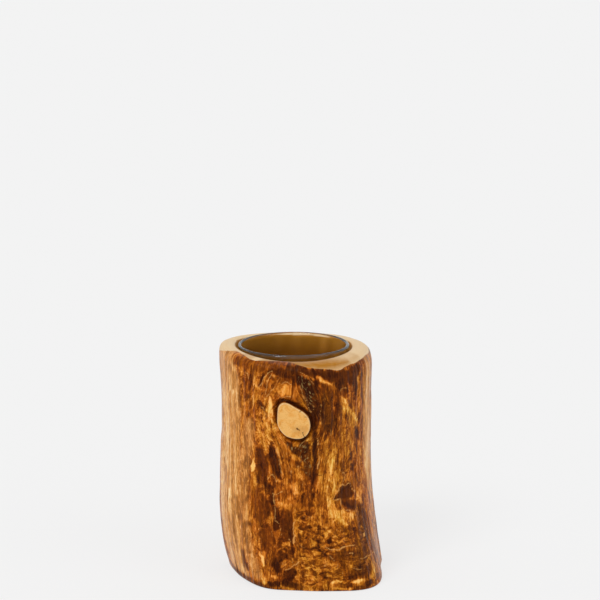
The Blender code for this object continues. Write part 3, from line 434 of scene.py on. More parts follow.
# Yellower or redder heartwood: share of yellow, soft edge, spots
OLIVE = (
    (0.45, 2.8, (17.4, 137.6, 4.9), (16.0, 109.0, 5.6), (13.4, 87.2, 4.2)),
    (0.55, 3.5, (-11.7, 121.4, 4.2), (-17.1, 108.5, 3.5)),
    (0.8, 2.1, (-22.4, 2.5, 2.8), (-2.3, 3.1, 2.8), (16.8, 3.0, 2.8), (32.9, 2.6, 2.8), (42.6, 4.0, 2.8)),
    (0.15, 5.6, (-6.1, 80.1, 15.4), (-17.2, 64.9, 14.0), (-9.6, 43.9, 12.6)),
    (0.6, 5.6, (28.9, 50.1, 11.2), (20.2, 23.1, 18.2), (34.1, 18.7, 14.0)),
    (0.9, 3.5, (51.3, 52.7, 4.2), (49.6, 35.6, 6.3), (41.1, 17.5, 6.3)),
    (0.9, 2.8, (62.6, 27.7, 3.5), (54.2, 16.6, 4.2), (47.8, 6.6, 4.2)),
    (0.85, 2.8, (22.7, 137.2, 4.2), (24.9, 119.0, 4.9)),
    (0.7, 5.6, (26.8, 100.6, 9.8), (28.1, 71.4, 8.4), (44.0, 119.7, 9.8)),
    (0.2, 5.6, (-16.9, 144.6, 11.2), (19.3, 157.2, 7.0), (43.0, 152.5, 7.0)),
    (0.7, 2.8, (3.2, 102.6, 5.6), (8.9, 91.3, 4.9), (11.0, 146.6, 4.9)),
)

# Hollows of the debarked wood, and bulges where the depth is negative: depth, soft edge, spots
HOLLOWS = (
    (0.9, 7.0, (-84.0, 142.0, 4.0), (-84.0, 123.0, 6.0), (-84.0, 106.0, 4.0)),
    (0.9, 6.0, (-84.0, 58.0, 4.0), (-82.0, 45.0, 5.0), (-80.0, 32.0, 4.0)),
    (-1.2, 7.0, (84.0, 126.0, 3.0), (84.0, 112.0, 5.0), (84.0, 99.0, 3.0)),
    (0.7, 1.4, (14.3, 140.6, 0.8), (15.0, 123.3, 1.0), (14.9, 109.0, 1.0), (15.5, 94.4, 0.9),
     (15.7, 83.5, 0.8), (12.9, 75.1, 0.7), (12.3, 70.9, 0.8), (13.8, 66.5, 0.7)),
    (0.5, 1.0, (6.0, 152.5, 2.1), (10.2, 146.7, 2.8), (12.4, 138.0, 2.4)),
    (0.45, 1.0, (-0.3, 103.2, 2.1), (4.5, 103.4, 2.8), (8.9, 94.9, 2.8)),
    (0.45, 0.8, (-17.3, 96.0, 1.4), (-15.1, 90.4, 3.5), (-12.1, 84.8, 2.4), (-9.1, 80.3, 1.0)),
    (0.4, 0.8, (-27.0, 99.4, 1.0), (-25.3, 93.0, 2.5), (-23.7, 85.9, 3.1), (-25.3, 80.7, 1.7)),
    (0.5, 0.7, (38.6, 69.9, 2.9), (42.0, 67.8, 2.8), (36.6, 66.6, 2.1), (38.6, 60.6, 2.5),
     (43.8, 58.1, 2.2), (50.5, 54.3, 2.1)),
    (0.5, 0.8, (7.0, 31.6, 0.5), (14.2, 31.5, 0.6), (19.9, 29.1, 0.7), (29.6, 27.7, 0.6),
     (36.8, 27.9, 0.6)),
    (0.4, 0.8, (-2.4, 44.4, 1.1), (-1.3, 37.3, 1.3), (-0.3, 30.1, 1.1), (-0.3, 25.1, 0.8)),
    (0.4, 0.8, (-13.4, 58.7, 1.5), (-11.8, 52.4, 2.2), (-16.1, 67.1, 1.3), (-17.4, 73.5, 1.8)),
    (0.4, 0.8, (-12.0, 17.9, 2.2), (-10.6, 14.4, 1.5)),
    (0.4, 0.7, (6.9, 69.0, 1.4), (7.4, 65.4, 1.5)),
    (0.35, 0.8, (-24.1, 151.7, 0.7), (-20.2, 156.2, 0.8), (-15.7, 158.0, 0.8), (-6.7, 158.1, 1.1)),
)

# Pale thin lines: name, strength, places
PALE_LINES = (
    ("eye outer", 0.75, (-31.1, 144.4), (-29.4, 146.8), (-26.4, 146.1), (-24.0, 148.5), (-21.7, 152.6),
     (-18.7, 156.6), (-15.7, 157.5)),
    ("eye inner", 0.65, (-16.0, 155.8), (-19.3, 150.7), (-19.7, 144.3), (-21.4, 137.8)),
    ("eye inner right", 0.6, (-20.6, 137.9), (-17.6, 141.7), (-15.4, 145.4), (-13.2, 146.9)),
    # A painted highlight: a pale stroke on the left shoulder below the rim.
    ("painted highlight on the left shoulder", 0.75, (-38.3, 155.6), (-35.9, 154.1), (-34.3, 150.4)),
    ("stub collar", 0.65, (4.6, 149.8), (5.9, 144.8), (7.6, 140.2), (10.5, 133.9), (12.5, 129.2)),
    ("stub collar low", 0.6, (5.3, 107.4), (8.2, 108.3), (11.2, 110.1)),
    ("gold line over", 0.7, (-9.2, 150.0), (-5.9, 150.4), (-1.6, 149.7)),
    ("gold line under", 0.65, (-10.2, 140.4), (-6.6, 139.7), (-1.6, 141.1)),
    ("corner line", 0.6, (5.0, 157.3), (8.9, 155.5), (12.5, 151.7), (14.4, 149.1)),
    ("right arc", 0.5, (35.0, 140.7), (35.8, 143.5), (38.8, 144.5), (41.4, 142.0)),
    ("right arc two", 0.5, (44.8, 139.9), (45.6, 143.4), (46.6, 144.7)),
    ("beside furrow", 0.8, (17.9, 110.3), (18.4, 101.6), (18.2, 92.8), (17.8, 87.1)),
    ("streak above", 0.6, (19.8, 134.6), (19.4, 127.5), (20.3, 120.3)),
    ("streak right", 0.55, (26.9, 116.6), (27.9, 107.7)),
    ("grey streak", 0.6, (14.2, 135.0), (14.5, 129.9)),
    ("blob outline", 0.75, (28.7, 66.1), (31.0, 67.3), (32.8, 69.7), (33.9, 72.8), (36.7, 74.1),
     (40.9, 73.8), (45.3, 71.4), (47.6, 66.9), (46.7, 62.8)),
    ("blob underline", 0.7, (28.6, 65.5), (31.6, 64.0), (34.7, 63.4), (34.3, 60.6), (34.4, 57.8),
     (37.2, 55.9), (42.1, 54.4), (45.7, 53.0), (45.5, 49.9)),
    ("streak near", 0.6, (37.0, 73.0), (39.1, 79.9), (36.6, 84.6)),
    ("left line", 0.7, (-15.6, 108.7), (-12.8, 104.5), (-10.9, 98.0), (-10.4, 91.5), (-9.1, 85.7),
     (-7.6, 80.0)),
    ("squiggle", 0.7, (-19.7, 79.8), (-17.1, 82.6), (-15.2, 83.1), (-13.6, 80.7), (-11.7, 79.0)),
    ("jag", 0.7, (-14.9, 62.2), (-14.8, 69.4), (-11.3, 70.2), (-7.6, 71.3)),
    ("jag down", 0.65, (-14.2, 63.0), (-13.3, 58.7), (-14.1, 54.4), (-13.6, 50.1), (-10.3, 48.5),
     (-9.1, 44.6), (-8.1, 40.4)),
    ("loop", 0.5, (-16.9, 43.3), (-15.0, 41.7), (-15.7, 39.1)),
    ("low line", 0.85, (1.3, 51.8), (-0.2, 46.7), (0.4, 41.0), (0.9, 36.7), (0.1, 33.0)),
    ("low line two", 0.55, (-3.4, 38.6), (-2.4, 35.4)),
    ("arc low", 0.7, (3.4, 22.4), (1.0, 19.0), (-1.7, 17.0), (-5.4, 15.4)),
    ("arc left of round", 0.55, (-7.2, 23.2), (-8.0, 19.5), (-6.8, 16.0)),
    ("crease light", 0.8, (21.3, 31.8), (23.7, 29.9), (27.4, 29.6), (30.5, 30.3), (33.8, 31.7),
     (36.8, 31.1), (40.6, 31.8)),
    ("crease light left", 0.6, (4.4, 33.3), (7.0, 31.9)),
    ("wiggle", 0.6, (19.9, 22.4), (21.0, 20.2), (19.4, 18.2)),
    ("stroke one", 0.6, (23.1, 26.1), (24.8, 24.2), (26.1, 22.1)),
    ("stroke two", 0.7, (41.8, 21.7), (45.6, 22.0), (51.1, 21.6), (60.7, 21.2)),
    ("stroke three", 0.55, (35.5, 16.5), (37.5, 15.2), (40.5, 14.8)),
    ("spot", 0.9, (35.9, 26.3), (36.7, 25.9)),
    ("spot two", 0.9, (50.5, 36.7), (50.5, 34.6)),
    ("golden line right", 0.6, (59.7, 59.8), (62.7, 54.6), (65.1, 49.5)),
    ("right outer light", 0.8, (65.1, 156.8), (65.8, 151.6), (69.1, 144.9)),
    ("right outer light two", 0.6, (65.9, 138.4), (67.4, 130.0), (71.3, 119.4)),
    ("pale right low", 0.6, (56.0, 76.2), (57.0, 71.6), (59.3, 66.6)),
    ("left pale one", 0.5, (-39.1, 131.0), (-40.1, 116.3), (-42.4, 107.8)),
    ("left pale two", 0.6, (-22.5, 131.3), (-19.8, 125.8), (-18.8, 121.5)),
    ("left pale three", 0.5, (-48.7, 68.6), (-47.9, 64.4)),
    ("left pale four", 0.6, (-35.8, 33.1), (-33.9, 29.1)),
    ("left pale five", 0.5, (-28.5, 43.3), (-26.8, 37.8)),
    ("gold hair one", 0.5, (3.6, 90.8), (5.0, 85.0), (6.0, 77.7), (6.0, 70.5)),
    ("gold hair two", 0.5, (-1.4, 80.4), (-0.7, 73.2), (1.8, 67.6)),
    ("ring", 0.5, (-31.7, 75.5), (-29.8, 77.1), (-27.9, 75.7), (-29.7, 73.8), (-31.7, 75.5)),
    ("pale by orange", 0.5, (-3.9, 90.5), (-1.7, 86.2), (-2.5, 80.4)),
    ("burl hair one", 0.45, (6.6, 54.8), (9.3, 52.6), (11.4, 54.6), (14.1, 53.0)),
    ("burl hair two", 0.45, (20.7, 56.7), (21.9, 53.0), (19.6, 50.4)),
)

# Dark thin lines: name, strength, places
DARK_LINES = (
    ("stub spot one", 0.9, (2.7, 118.8), (4.2, 117.4)),
    ("stub spot two", 1.1, (6.0, 116.3), (6.6, 114.6), (7.6, 112.7)),
    ("stub crack one", 0.5, (5.6, 131.6), (4.1, 129.9)),
    ("stub crack two", 0.5, (8.4, 128.2), (6.3, 127.5)),
    ("stub crack three", 0.45, (9.9, 123.6), (7.7, 123.2)),
    ("crack mark", 0.7, (16.9, 83.5), (19.1, 82.6), (22.1, 83.4)),
    ("crack mark two", 0.5, (17.6, 84.9), (20.2, 84.3)),
    ("root arris", 0.7, (47.8, 21.8), (46.2, 15.4), (43.8, 9.3), (42.6, 3.3)),
    ("eye line", 0.6, (-22.0, 150.5), (-22.2, 144.1), (-23.7, 137.6)),
    ("blob ring", 0.8, (35.6, 69.7), (38.3, 71.7), (43.2, 70.1), (44.4, 66.6)),
    ("left hair one", 0.45, (-47.8, 74.7), (-46.9, 66.1)),
    ("left hair two", 0.45, (-31.0, 19.4), (-29.3, 12.3)),
    ("lower swirl", 0.6, (28.3, 21.3), (29.7, 18.4), (28.3, 15.0)),
    ("lower swirl two", 0.6, (33.0, 27.0), (34.8, 23.4), (33.2, 20.2)),
    ("lower swirl three", 0.6, (35.1, 17.9), (38.9, 16.4), (44.5, 16.7)),
    ("stub side crack", 0.5, (8.2, 126.5), (10.4, 127.1)),
)

# Where debarked wood gives way to the sawn top: arc, distance from the bore's axis in mm, height
SAWN_EDGE = (
    (-68.5, 52.0, 164.9), (-60.4, 50.3, 166.2), (-57.4, 46.9, 166.2), (-51.2, 46.9, 165.7),
    (-43.0, 48.1, 165.1), (-36.0, 49.8, 164.2), (-30.9, 50.2, 163.5), (-25.7, 48.6, 163.7),
    (-19.8, 46.2, 163.5), (-11.9, 43.6, 163.3), (-6.5, 43.4, 163.1), (-2.0, 45.4, 162.9),
    (2.8, 49.7, 162.3), (9.3, 51.9, 161.1), (15.9, 52.5, 159.6), (21.2, 53.0, 159.3), (27.1, 53.7, 158.2),
    (32.5, 54.6, 156.8), (35.7, 54.9, 157.2), (39.9, 54.3, 159.0), (44.8, 54.4, 159.3), (50.4, 54.4, 159.6),
    (58.0, 53.9, 160.6), (69.6, 53.5, 161.0), (84.1, 54.1, 159.7), (104.0, 54.0, 161.5),
    (124.0, 53.6, 163.5), (142.0, 53.0, 162.0), (-150.0, 52.6, 164.0), (-128.0, 52.0, 165.2),
    (-106.0, 52.4, 163.4), (-88.0, 53.2, 160.6),
)


def smooth(value, low, high):
    """0 below low, 1 above high, and a smooth rise between, for arrays."""
    share = np.clip((value - low) / (high - low), 0.0, 1.0)
    return share * share * (3.0 - 2.0 * share)


def bell(offset, spread):
    """1 at no offset, falling smoothly to nothing a few spreads away, for arrays."""
    return np.exp(-((offset / spread) ** 2))


def ripples(angle, height, name):
    """Seamless noise round the trunk, about -2 to 2, of the seed and size that RIPPLES gives its name."""
    seed, across, along = RIPPLES[name]
    chance = np.random.default_rng(seed)
    around = np.maximum(1, np.rint(TAU * TRUNK_RADIUS / across * chance.uniform(0.45, 1.15, WAVES)))
    upward = TAU / along * chance.normal(0.0, 0.6, WAVES)
    start = chance.uniform(0.0, TAU, WAVES)
    total = np.zeros(np.broadcast(angle, height).shape)
    for waves, rise, phase in zip(around, upward, start):
        total += np.cos(waves * angle + rise * height + phase)
    return total * math.sqrt(2.0 / WAVES)


def chain_distance(points, arc, high):
    """Distance in mm of places from a chain of spots, (arc, height, half width) each: negative inside it."""
    points = np.array(points)
    best = np.full(arc.shape, np.inf)
    for first, last in zip(points, points[1:] if len(points) > 1 else points):
        run, climb, growth = last - first
        length = max(run * run + climb * climb, 1e-9)
        along = np.clip(((arc - first[0]) * run + (high - first[1]) * climb) / length, 0.0, 1.0)
        gap = np.hypot(arc - first[0] - along * run, high - first[1] - along * climb)
        best = np.minimum(best, gap - first[2] - along * growth)
    return best


def near_chain(points, arc, high, margin):
    """Indices of the places within a margin in mm of the bounds of a chain of spots."""
    points = np.array(points)
    wide = margin + points[:, 2].max()
    low, top = points[:, :2].min(0) - wide, points[:, :2].max(0) + wide
    return np.nonzero((arc > low[0]) & (arc < top[0]) & (high > low[1]) & (high < top[1]))


def painted(field, chains, arc, high):
    """The field with patches laid over it one by one: (value, soft edge, spots...) each, in mm."""
    for value, soft, *spots in chains:
        at = near_chain(spots, arc, high, soft)
        share = smooth(-chain_distance(spots, arc[at], high[at]), -soft, soft)
        field[at] += (value - field[at]) * share
    return field


def drawn(field, lines, arc, high, width):
    """The field with thin lines laid over it: (name, strength, places...) each, in mm."""
    for _, strength, *places in lines:
        spots = [(*place, 0.0) for place in places]
        at = near_chain(spots, arc, high, 3.0 * width)
        mark = strength * bell(chain_distance(spots, arc[at], high[at]), width)
        field[at] = np.maximum(field[at], mark)
    return field


def wood_tree():
    """A search tree of the trunk's fixed solid."""
    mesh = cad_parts["wood_body"].data
    return BVHTree.FromPolygons([v.co for v in mesh.vertices], [tuple(p.vertices) for p in mesh.polygons])


def reach(tree, start, direction):
    """Distance from a point to the solid's surface along a direction."""
    hit = tree.ray_cast(start, direction)
    if hit[0] is None:
        raise RuntimeError("the trunk's surface wasn't met where it was measured")
    return hit[3]


def blurred_round(rows, sigma):
    """Rows of values at every degree round the trunk, each smoothed by sigma degrees."""
    waves = np.fft.rfftfreq(rows.shape[1], 1.0 / rows.shape[1])
    keep = np.exp(-0.5 * (waves * math.radians(sigma)) ** 2)
    return np.fft.irfft(np.fft.rfft(rows, axis=1) * keep, rows.shape[1], axis=1)


def relaxed(rows, weights, times):
    """Rows smoothed with the rows above and below them, each by its own weight from 0 to 1."""
    weights = np.reshape(weights, (-1,) + (1,) * (rows.ndim - 1))[1:-1]
    rows = rows.copy()
    for _ in range(times):
        rows[1:-1] += 0.5 * weights * (0.5 * (rows[:-2] + rows[2:]) - rows[1:-1])
    return rows


def degrees_beside(angle):
    """The whole degrees on either side of an angle, and how far it lies between them."""
    column = (angle + math.pi) / TAU * 360.0
    left = np.floor(column).astype(int)
    return left % 360, (left + 1) % 360, column - left


def edge_heights(settings, last):
    """Heights up the base's rounded edge, at every 15 degrees of its turn up to the last."""
    return settings.base_round * (1.0 - np.cos(np.radians(np.arange(15.0, last + 1.0, 15.0))))


class Stub:
    """The branch stub: its flat sawn face, and places measured from its outline."""

    def __init__(self, settings, tree):
        self.x = settings.stub_x
        self.z = settings.stub_z
        self.front = CLEAR - reach(tree, Vector((self.x, -CLEAR, self.z)), Vector((0.0, 1.0, 0.0)))
        radii = np.array(STUB_OUTLINE) * MM
        self.mean = radii.mean()
        self.waves = np.fft.rfft(radii) / len(radii)

    def across(self, angle):
        """Distance to the right of the stub's centre, on the plane of its face."""
        return self.front * np.tan(np.clip(angle, -PLANE_SIDE, PLANE_SIDE)) - self.x

    def angle(self, across):
        """Angle from the front at a distance to the right of the stub's centre."""
        return np.arctan((across + self.x) / self.front)

    def radius(self, direction):
        """Radius of the face's outline in a direction from +X towards +Z."""
        total = np.full(np.shape(direction), self.waves[0].real)
        for count, wave in enumerate(self.waves[1:-1], 1):
            turn = count * direction
            total = total + 2.0 * (wave.real * np.cos(turn) - wave.imag * np.sin(turn))
        return total

    def beyond(self, angle, height):
        """Distance outside the face's outline, negative on the face and large behind the trunk."""
        across, above = self.across(angle), height - self.z
        out = np.hypot(across, above) - self.radius(np.arctan2(above, across))
        return np.where(np.abs(angle) < STUB_SIDE, out, 1.0)

    def drawn_round(self, angle, height, window):
        """Moves mesh points near the stub, so that the mesh's lines run round its outline."""
        across, above = self.across(angle), height - self.z
        ring = np.maximum(np.abs(across), np.abs(above))
        inside = (ring < window) & (ring > 1e-6) & (np.abs(angle) < STUB_SIDE)
        ring = np.where(inside, ring, window)
        distance = np.where(inside, np.hypot(across, above), window)
        egg = ring / distance * self.radius(np.arctan2(above, across)) / self.mean
        share = 1.0 - smooth(ring, 0.62 * window, window)
        factor = 1.0 + (egg - 1.0) * share
        return (
            np.where(inside, self.angle(across * factor), angle),
            np.where(inside, self.z + above * factor, height),
        )


class Trunk:
    """The trunk's outside as measured from its solid, without the stub and smoothed of its facets."""

    def __init__(self, settings, tree, stub):
        self.angles = np.radians(np.arange(360) - 180.0)
        level = np.arange(0.003, CORE_HEIGHT + 1e-9, 0.001)
        self.heights = np.concatenate([edge_heights(settings, 90.0), level])
        outs = [Vector((math.sin(a), -math.cos(a), 0.0)) for a in self.angles]
        wall = [
            [CLEAR - reach(tree, out * CLEAR + Vector((0.0, 0.0, z)), -out) for out in outs]
            for z in self.heights
        ]
        self.wall = blurred_round(self.without_stub(np.array(wall), stub), WALL_BLUR)
        self.wall = relaxed(self.wall, smooth(self.heights, 0.004, 0.016), WALL_PASSES)
        rises = np.radians(np.arange(0.0, 180.1, 2.0))
        fan = np.array([[self.over_rim(tree, out, rise) for out in outs] for rise in rises])
        fan = blurred_round(fan, RIM_BLUR)
        across, up = fan * np.cos(rises)[:, None], fan * np.sin(rises)[:, None]
        self.rim = np.stack([CORE_RADIUS + across, CORE_HEIGHT + up], axis=2)
        self.bore_radius = CORE_RADIUS - fan[-1].mean()
        inside = 0.1
        self.floor = inside - reach(tree, Vector((0.0, 0.0, inside)), Vector((0.0, 0.0, -1.0)))

    def over_rim(self, tree, out, rise):
        """Distance from the ring inside the wall to the surface, at a rise from outwards to inwards."""
        core = out * CORE_RADIUS + Vector((0.0, 0.0, CORE_HEIGHT))
        return reach(tree, core, out * math.cos(rise) + Vector((0.0, 0.0, math.sin(rise))))

    def without_stub(self, wall, stub):
        """The wall's radii with the stub and its ring filled in smoothly from the wood round them."""
        angle, height = np.meshgrid(self.angles, self.heights)
        beyond = stub.beyond(angle, height)
        covered = beyond < COLLAR_END
        wall = wall.copy()
        wall[covered] = wall[~covered & (beyond < BESIDE_END)].mean()
        for _ in range(FILL_PASSES):
            beside = np.roll(wall, 1, 1) + np.roll(wall, -1, 1) + np.roll(wall, 1, 0) + np.roll(wall, -1, 0)
            wall[covered] = (beside / 4.0)[covered]
        return wall

    def radius(self, angle, height):
        """Distance of the outside from the bore's axis, up to the core's height."""
        near, far, share = degrees_beside(angle)
        last = len(self.heights) - 1.001
        row = np.clip(np.interp(height, self.heights, np.arange(len(self.heights))), 0, last)
        low = row.astype(int)
        up = row - low
        lower = self.wall[low, near] * (1.0 - share) + self.wall[low, far] * share
        upper = self.wall[low + 1, near] * (1.0 - share) + self.wall[low + 1, far] * share
        return lower * (1.0 - up) + upper * up

    def rim_rows(self, angles, count):
        """Even rows over the rim, as (distance from the axis, height) at some angles, and their arcs."""
        steps = np.hypot(*np.moveaxis(np.diff(self.rim, axis=0), 2, 0))
        along = np.concatenate([np.zeros((1, 360)), np.cumsum(steps, axis=0)])
        rows = np.empty((count, 360, 2))
        for i in range(360):
            at = np.linspace(0.0, along[-1, i], count)
            rows[:, i, 0] = np.interp(at, along[:, i], self.rim[:, i, 0])
            rows[:, i, 1] = np.interp(at, along[:, i], self.rim[:, i, 1])
        soft = smooth(-np.arange(count, dtype=float), -RIM_SHARP * count, -RIM_SMOOTH * count)
        rows = relaxed(rows, soft, RIM_PASSES)
        near, far, share = degrees_beside(angles)
        share = share[:, None]
        rows = rows[:, near] * (1.0 - share) + rows[:, far] * share
        return rows, np.linspace(0.0, 1.0, count)[:, None] * along[-1, near][None, :]


def lines_round_stub(stub, settings):
    """Distances from the stub's centre of the mesh's lines, closer together about its edge and ring."""
    window, outside, spread = settings.stub_window, 0.0008, 0.0022
    lines, at = [], 0.0
    while at < window:
        close = math.exp(-(((at - stub.mean - outside) / spread) ** 2))
        at += settings.mesh_step * (1.0 - 0.45 * close)
        lines.append(at)
    return np.array(lines) * (window / lines[-1])


def column_angles(stub, settings):
    """Angles of the mesh's columns: fine at the front, and coarser where it turns away and behind."""
    lines = lines_round_stub(stub, settings)
    columns = [*stub.angle(-lines)[::-1], float(stub.angle(0.0)), *stub.angle(lines)]

    def onward(start, stop, sign):
        angles, at = [], start
        while sign * (stop - at) > 0.0:
            step = settings.back_step
            if abs(at) < math.pi / 2.0:
                step = min(step, settings.mesh_step / max(0.3, math.cos(at)))
            at += sign * step / TRUNK_RADIUS
            angles.append(at)
        return start + (np.array(angles) - start) * (stop - start) / (angles[-1] - start)

    right = onward(columns[-1], math.pi, 1.0)
    left = onward(columns[0], -math.pi, -1.0)
    return np.array([*left[::-1], *columns, *right[:-1]])


def wall_heights(stub, settings):
    """Heights of the mesh's rows on the trunk's wall, closer together about the stub."""
    near = lines_round_stub(stub, settings)
    low, high = stub.z - near[-1], stub.z + near[-1]
    rows_below = round((low - settings.base_round) / settings.mesh_step) + 1
    rows_above = max(2, round((CORE_HEIGHT - high) / settings.mesh_step) + 1)
    below = np.linspace(settings.base_round, low, rows_below)
    above = np.linspace(high, CORE_HEIGHT, rows_above)
    return np.concatenate([below[:-1], stub.z - near[::-1], [stub.z], stub.z + near, above[1:]])


def surface_normals(points):
    """Outward normals of a grid of points: rows run up the outside, and columns to the right."""
    right = np.roll(points, -1, 1) - np.roll(points, 1, 1)
    up = np.gradient(points, axis=0)
    normals = np.cross(right, up)
    return normals / np.maximum(np.linalg.norm(normals, axis=2, keepdims=True), 1e-12)


def metres(name, description, default):
    """A setting in metres."""
    return FloatProperty(name=name, description=description, default=default, unit="LENGTH")


def rgb(name, description, default):
    """A setting of red, green and blue."""
    return FloatVectorProperty(name=name, description=description, default=default, subtype="COLOR")


def power(name, description, default):
    """A setting of a light, as a share of white."""
    return FloatProperty(name=name, description=description, default=default, min=0.0)


class WoodSettings(bpy.types.PropertyGroup):
    mesh_step: metres("Front step", "Spacing of the mesh on the front of the trunk", 0.00069)
    back_step: metres("Back step", "Spacing of the mesh's columns behind", 0.0016)
    stub_x: metres("Stub across", "Place of the stub's centre to the right of the bore's axis", -0.0007)
    stub_z: metres("Stub height", "Height of the branch stub's centre", 0.1230)
    stub_window: metres("Stub window", "Half width of the area where the mesh runs round the stub", 0.0255)
    base_round: metres("Base rounding", "Radius of the base's edge", 0.0018)
    bore_corner: metres("Bore corner", "Radius between the bore's wall and floor", 0.003)
    ridge: metres("Fibre ridges", "Height of the ridges that the fibres leave on the debarked wood", 0.00016)
    dark: rgb("Dark wood", "Colour of the darkest heartwood", (0.032, 0.0042, 0.0006))
    brown: rgb("Brown wood", "Colour of the reddish brown heartwood", (0.160, 0.040, 0.0024))
    orange: rgb("Orange wood", "Colour of the orange heartwood", (0.392, 0.121, 0.0085))
    golden: rgb("Golden wood", "Colour of the golden wood", (0.73, 0.315, 0.058))
    pale: rgb("Pale wood", "Colour of the palest fibres and outlines", (0.92, 0.62, 0.29))
    sap: rgb("Sapwood", "Colour of the tan sapwood", (0.65, 0.265, 0.058))
    sap_pale: rgb("Pale sapwood", "Colour of the sapwood's light streaks", (0.85, 0.51, 0.195))
    # The palest sapwood colour, at the top of its scale, where the figure's peaks show as painted glints
    glint: rgb("Glint", "Colour of the palest flecks of the sapwood", (0.96, 0.72, 0.41))
    mould: rgb("Speckle", "Colour of the olive speckles in the darkest wood", (0.33, 0.21, 0.07))
    sawn: rgb("Sawn wood", "Colour of the cream sawn top", (0.76, 0.56, 0.32))
    stained: rgb("Oiled end grain", "Colour of the sawn top where oil soaked in", (0.36, 0.145, 0.014))
    stub_face: rgb("Stub face", "Colour of the branch stub's sawn face", (0.80, 0.445, 0.135))


class GlassSettings(bpy.types.PropertyGroup):
    radius: metres("Radius", "Outer radius of the glass", (GLASS_BOX[1].x - GLASS_BOX[0].x) / 2.0)
    height: metres("Height", "Height of the glass", GLASS_BOX[1].z - GLASS_BOX[0].z)
    wall: metres("Wall", "Thickness of the glass wall", 0.0026)
    base: metres("Base", "Thickness of the glass base", 0.007)
    inner_corner: metres("Inner corner", "Radius between the inner wall and floor", 0.006)
    outer_corner: metres("Outer corner", "Radius of the foot's outer edge", 0.004)
    foot_width: metres("Foot width", "Width of the ring that the glass stands on", 0.005)
    punt: metres("Punt", "Height of the pushed-up middle of the foot", 0.0012)
    steps: IntProperty(name="Steps", description="Faces round the glass", default=160, min=24)
    tint: rgb("Tint", "Colour of the glass", (0.965, 0.982, 0.975))


class StageSettings(bpy.types.PropertyGroup):
    eye: FloatVectorProperty(
        name="Eye",
        description="Place of the camera",
        default=(0.0046, -1.4699, 0.497),
        subtype="XYZ",
        unit="LENGTH",
    )
    tilt: FloatProperty(
        name="Tilt",
        description="How far the camera looks down",
        default=math.radians(11.5),
        subtype="ANGLE",
    )
    lens: FloatProperty(
        name="Lens",
        description="Focal length in millimetres on a 36 mm sensor",
        default=SENSOR * FOCAL_PIXELS / FRAME_WIDTH,
    )
    backdrop: rgb("Backdrop", "Colour of floor and room as the camera sees them", (0.896, 0.896, 0.896))
    floor: rgb("Floor", "Colour of the floor under the lights", (0.885, 0.885, 0.885))
    shadow: FloatProperty(
        name="Shadow",
        description="How much of the vase's shadow on the floor the camera sees",
        default=0.22,
        min=0.0,
        max=1.0,
    )
    fill: power("Fill", "Strength of the light from all round", 0.68)
    key: power("Key", "Strength of the main soft light, a share of white", 0.38)
    side: power("Side", "Strength of the weaker light at the right", 0.12)


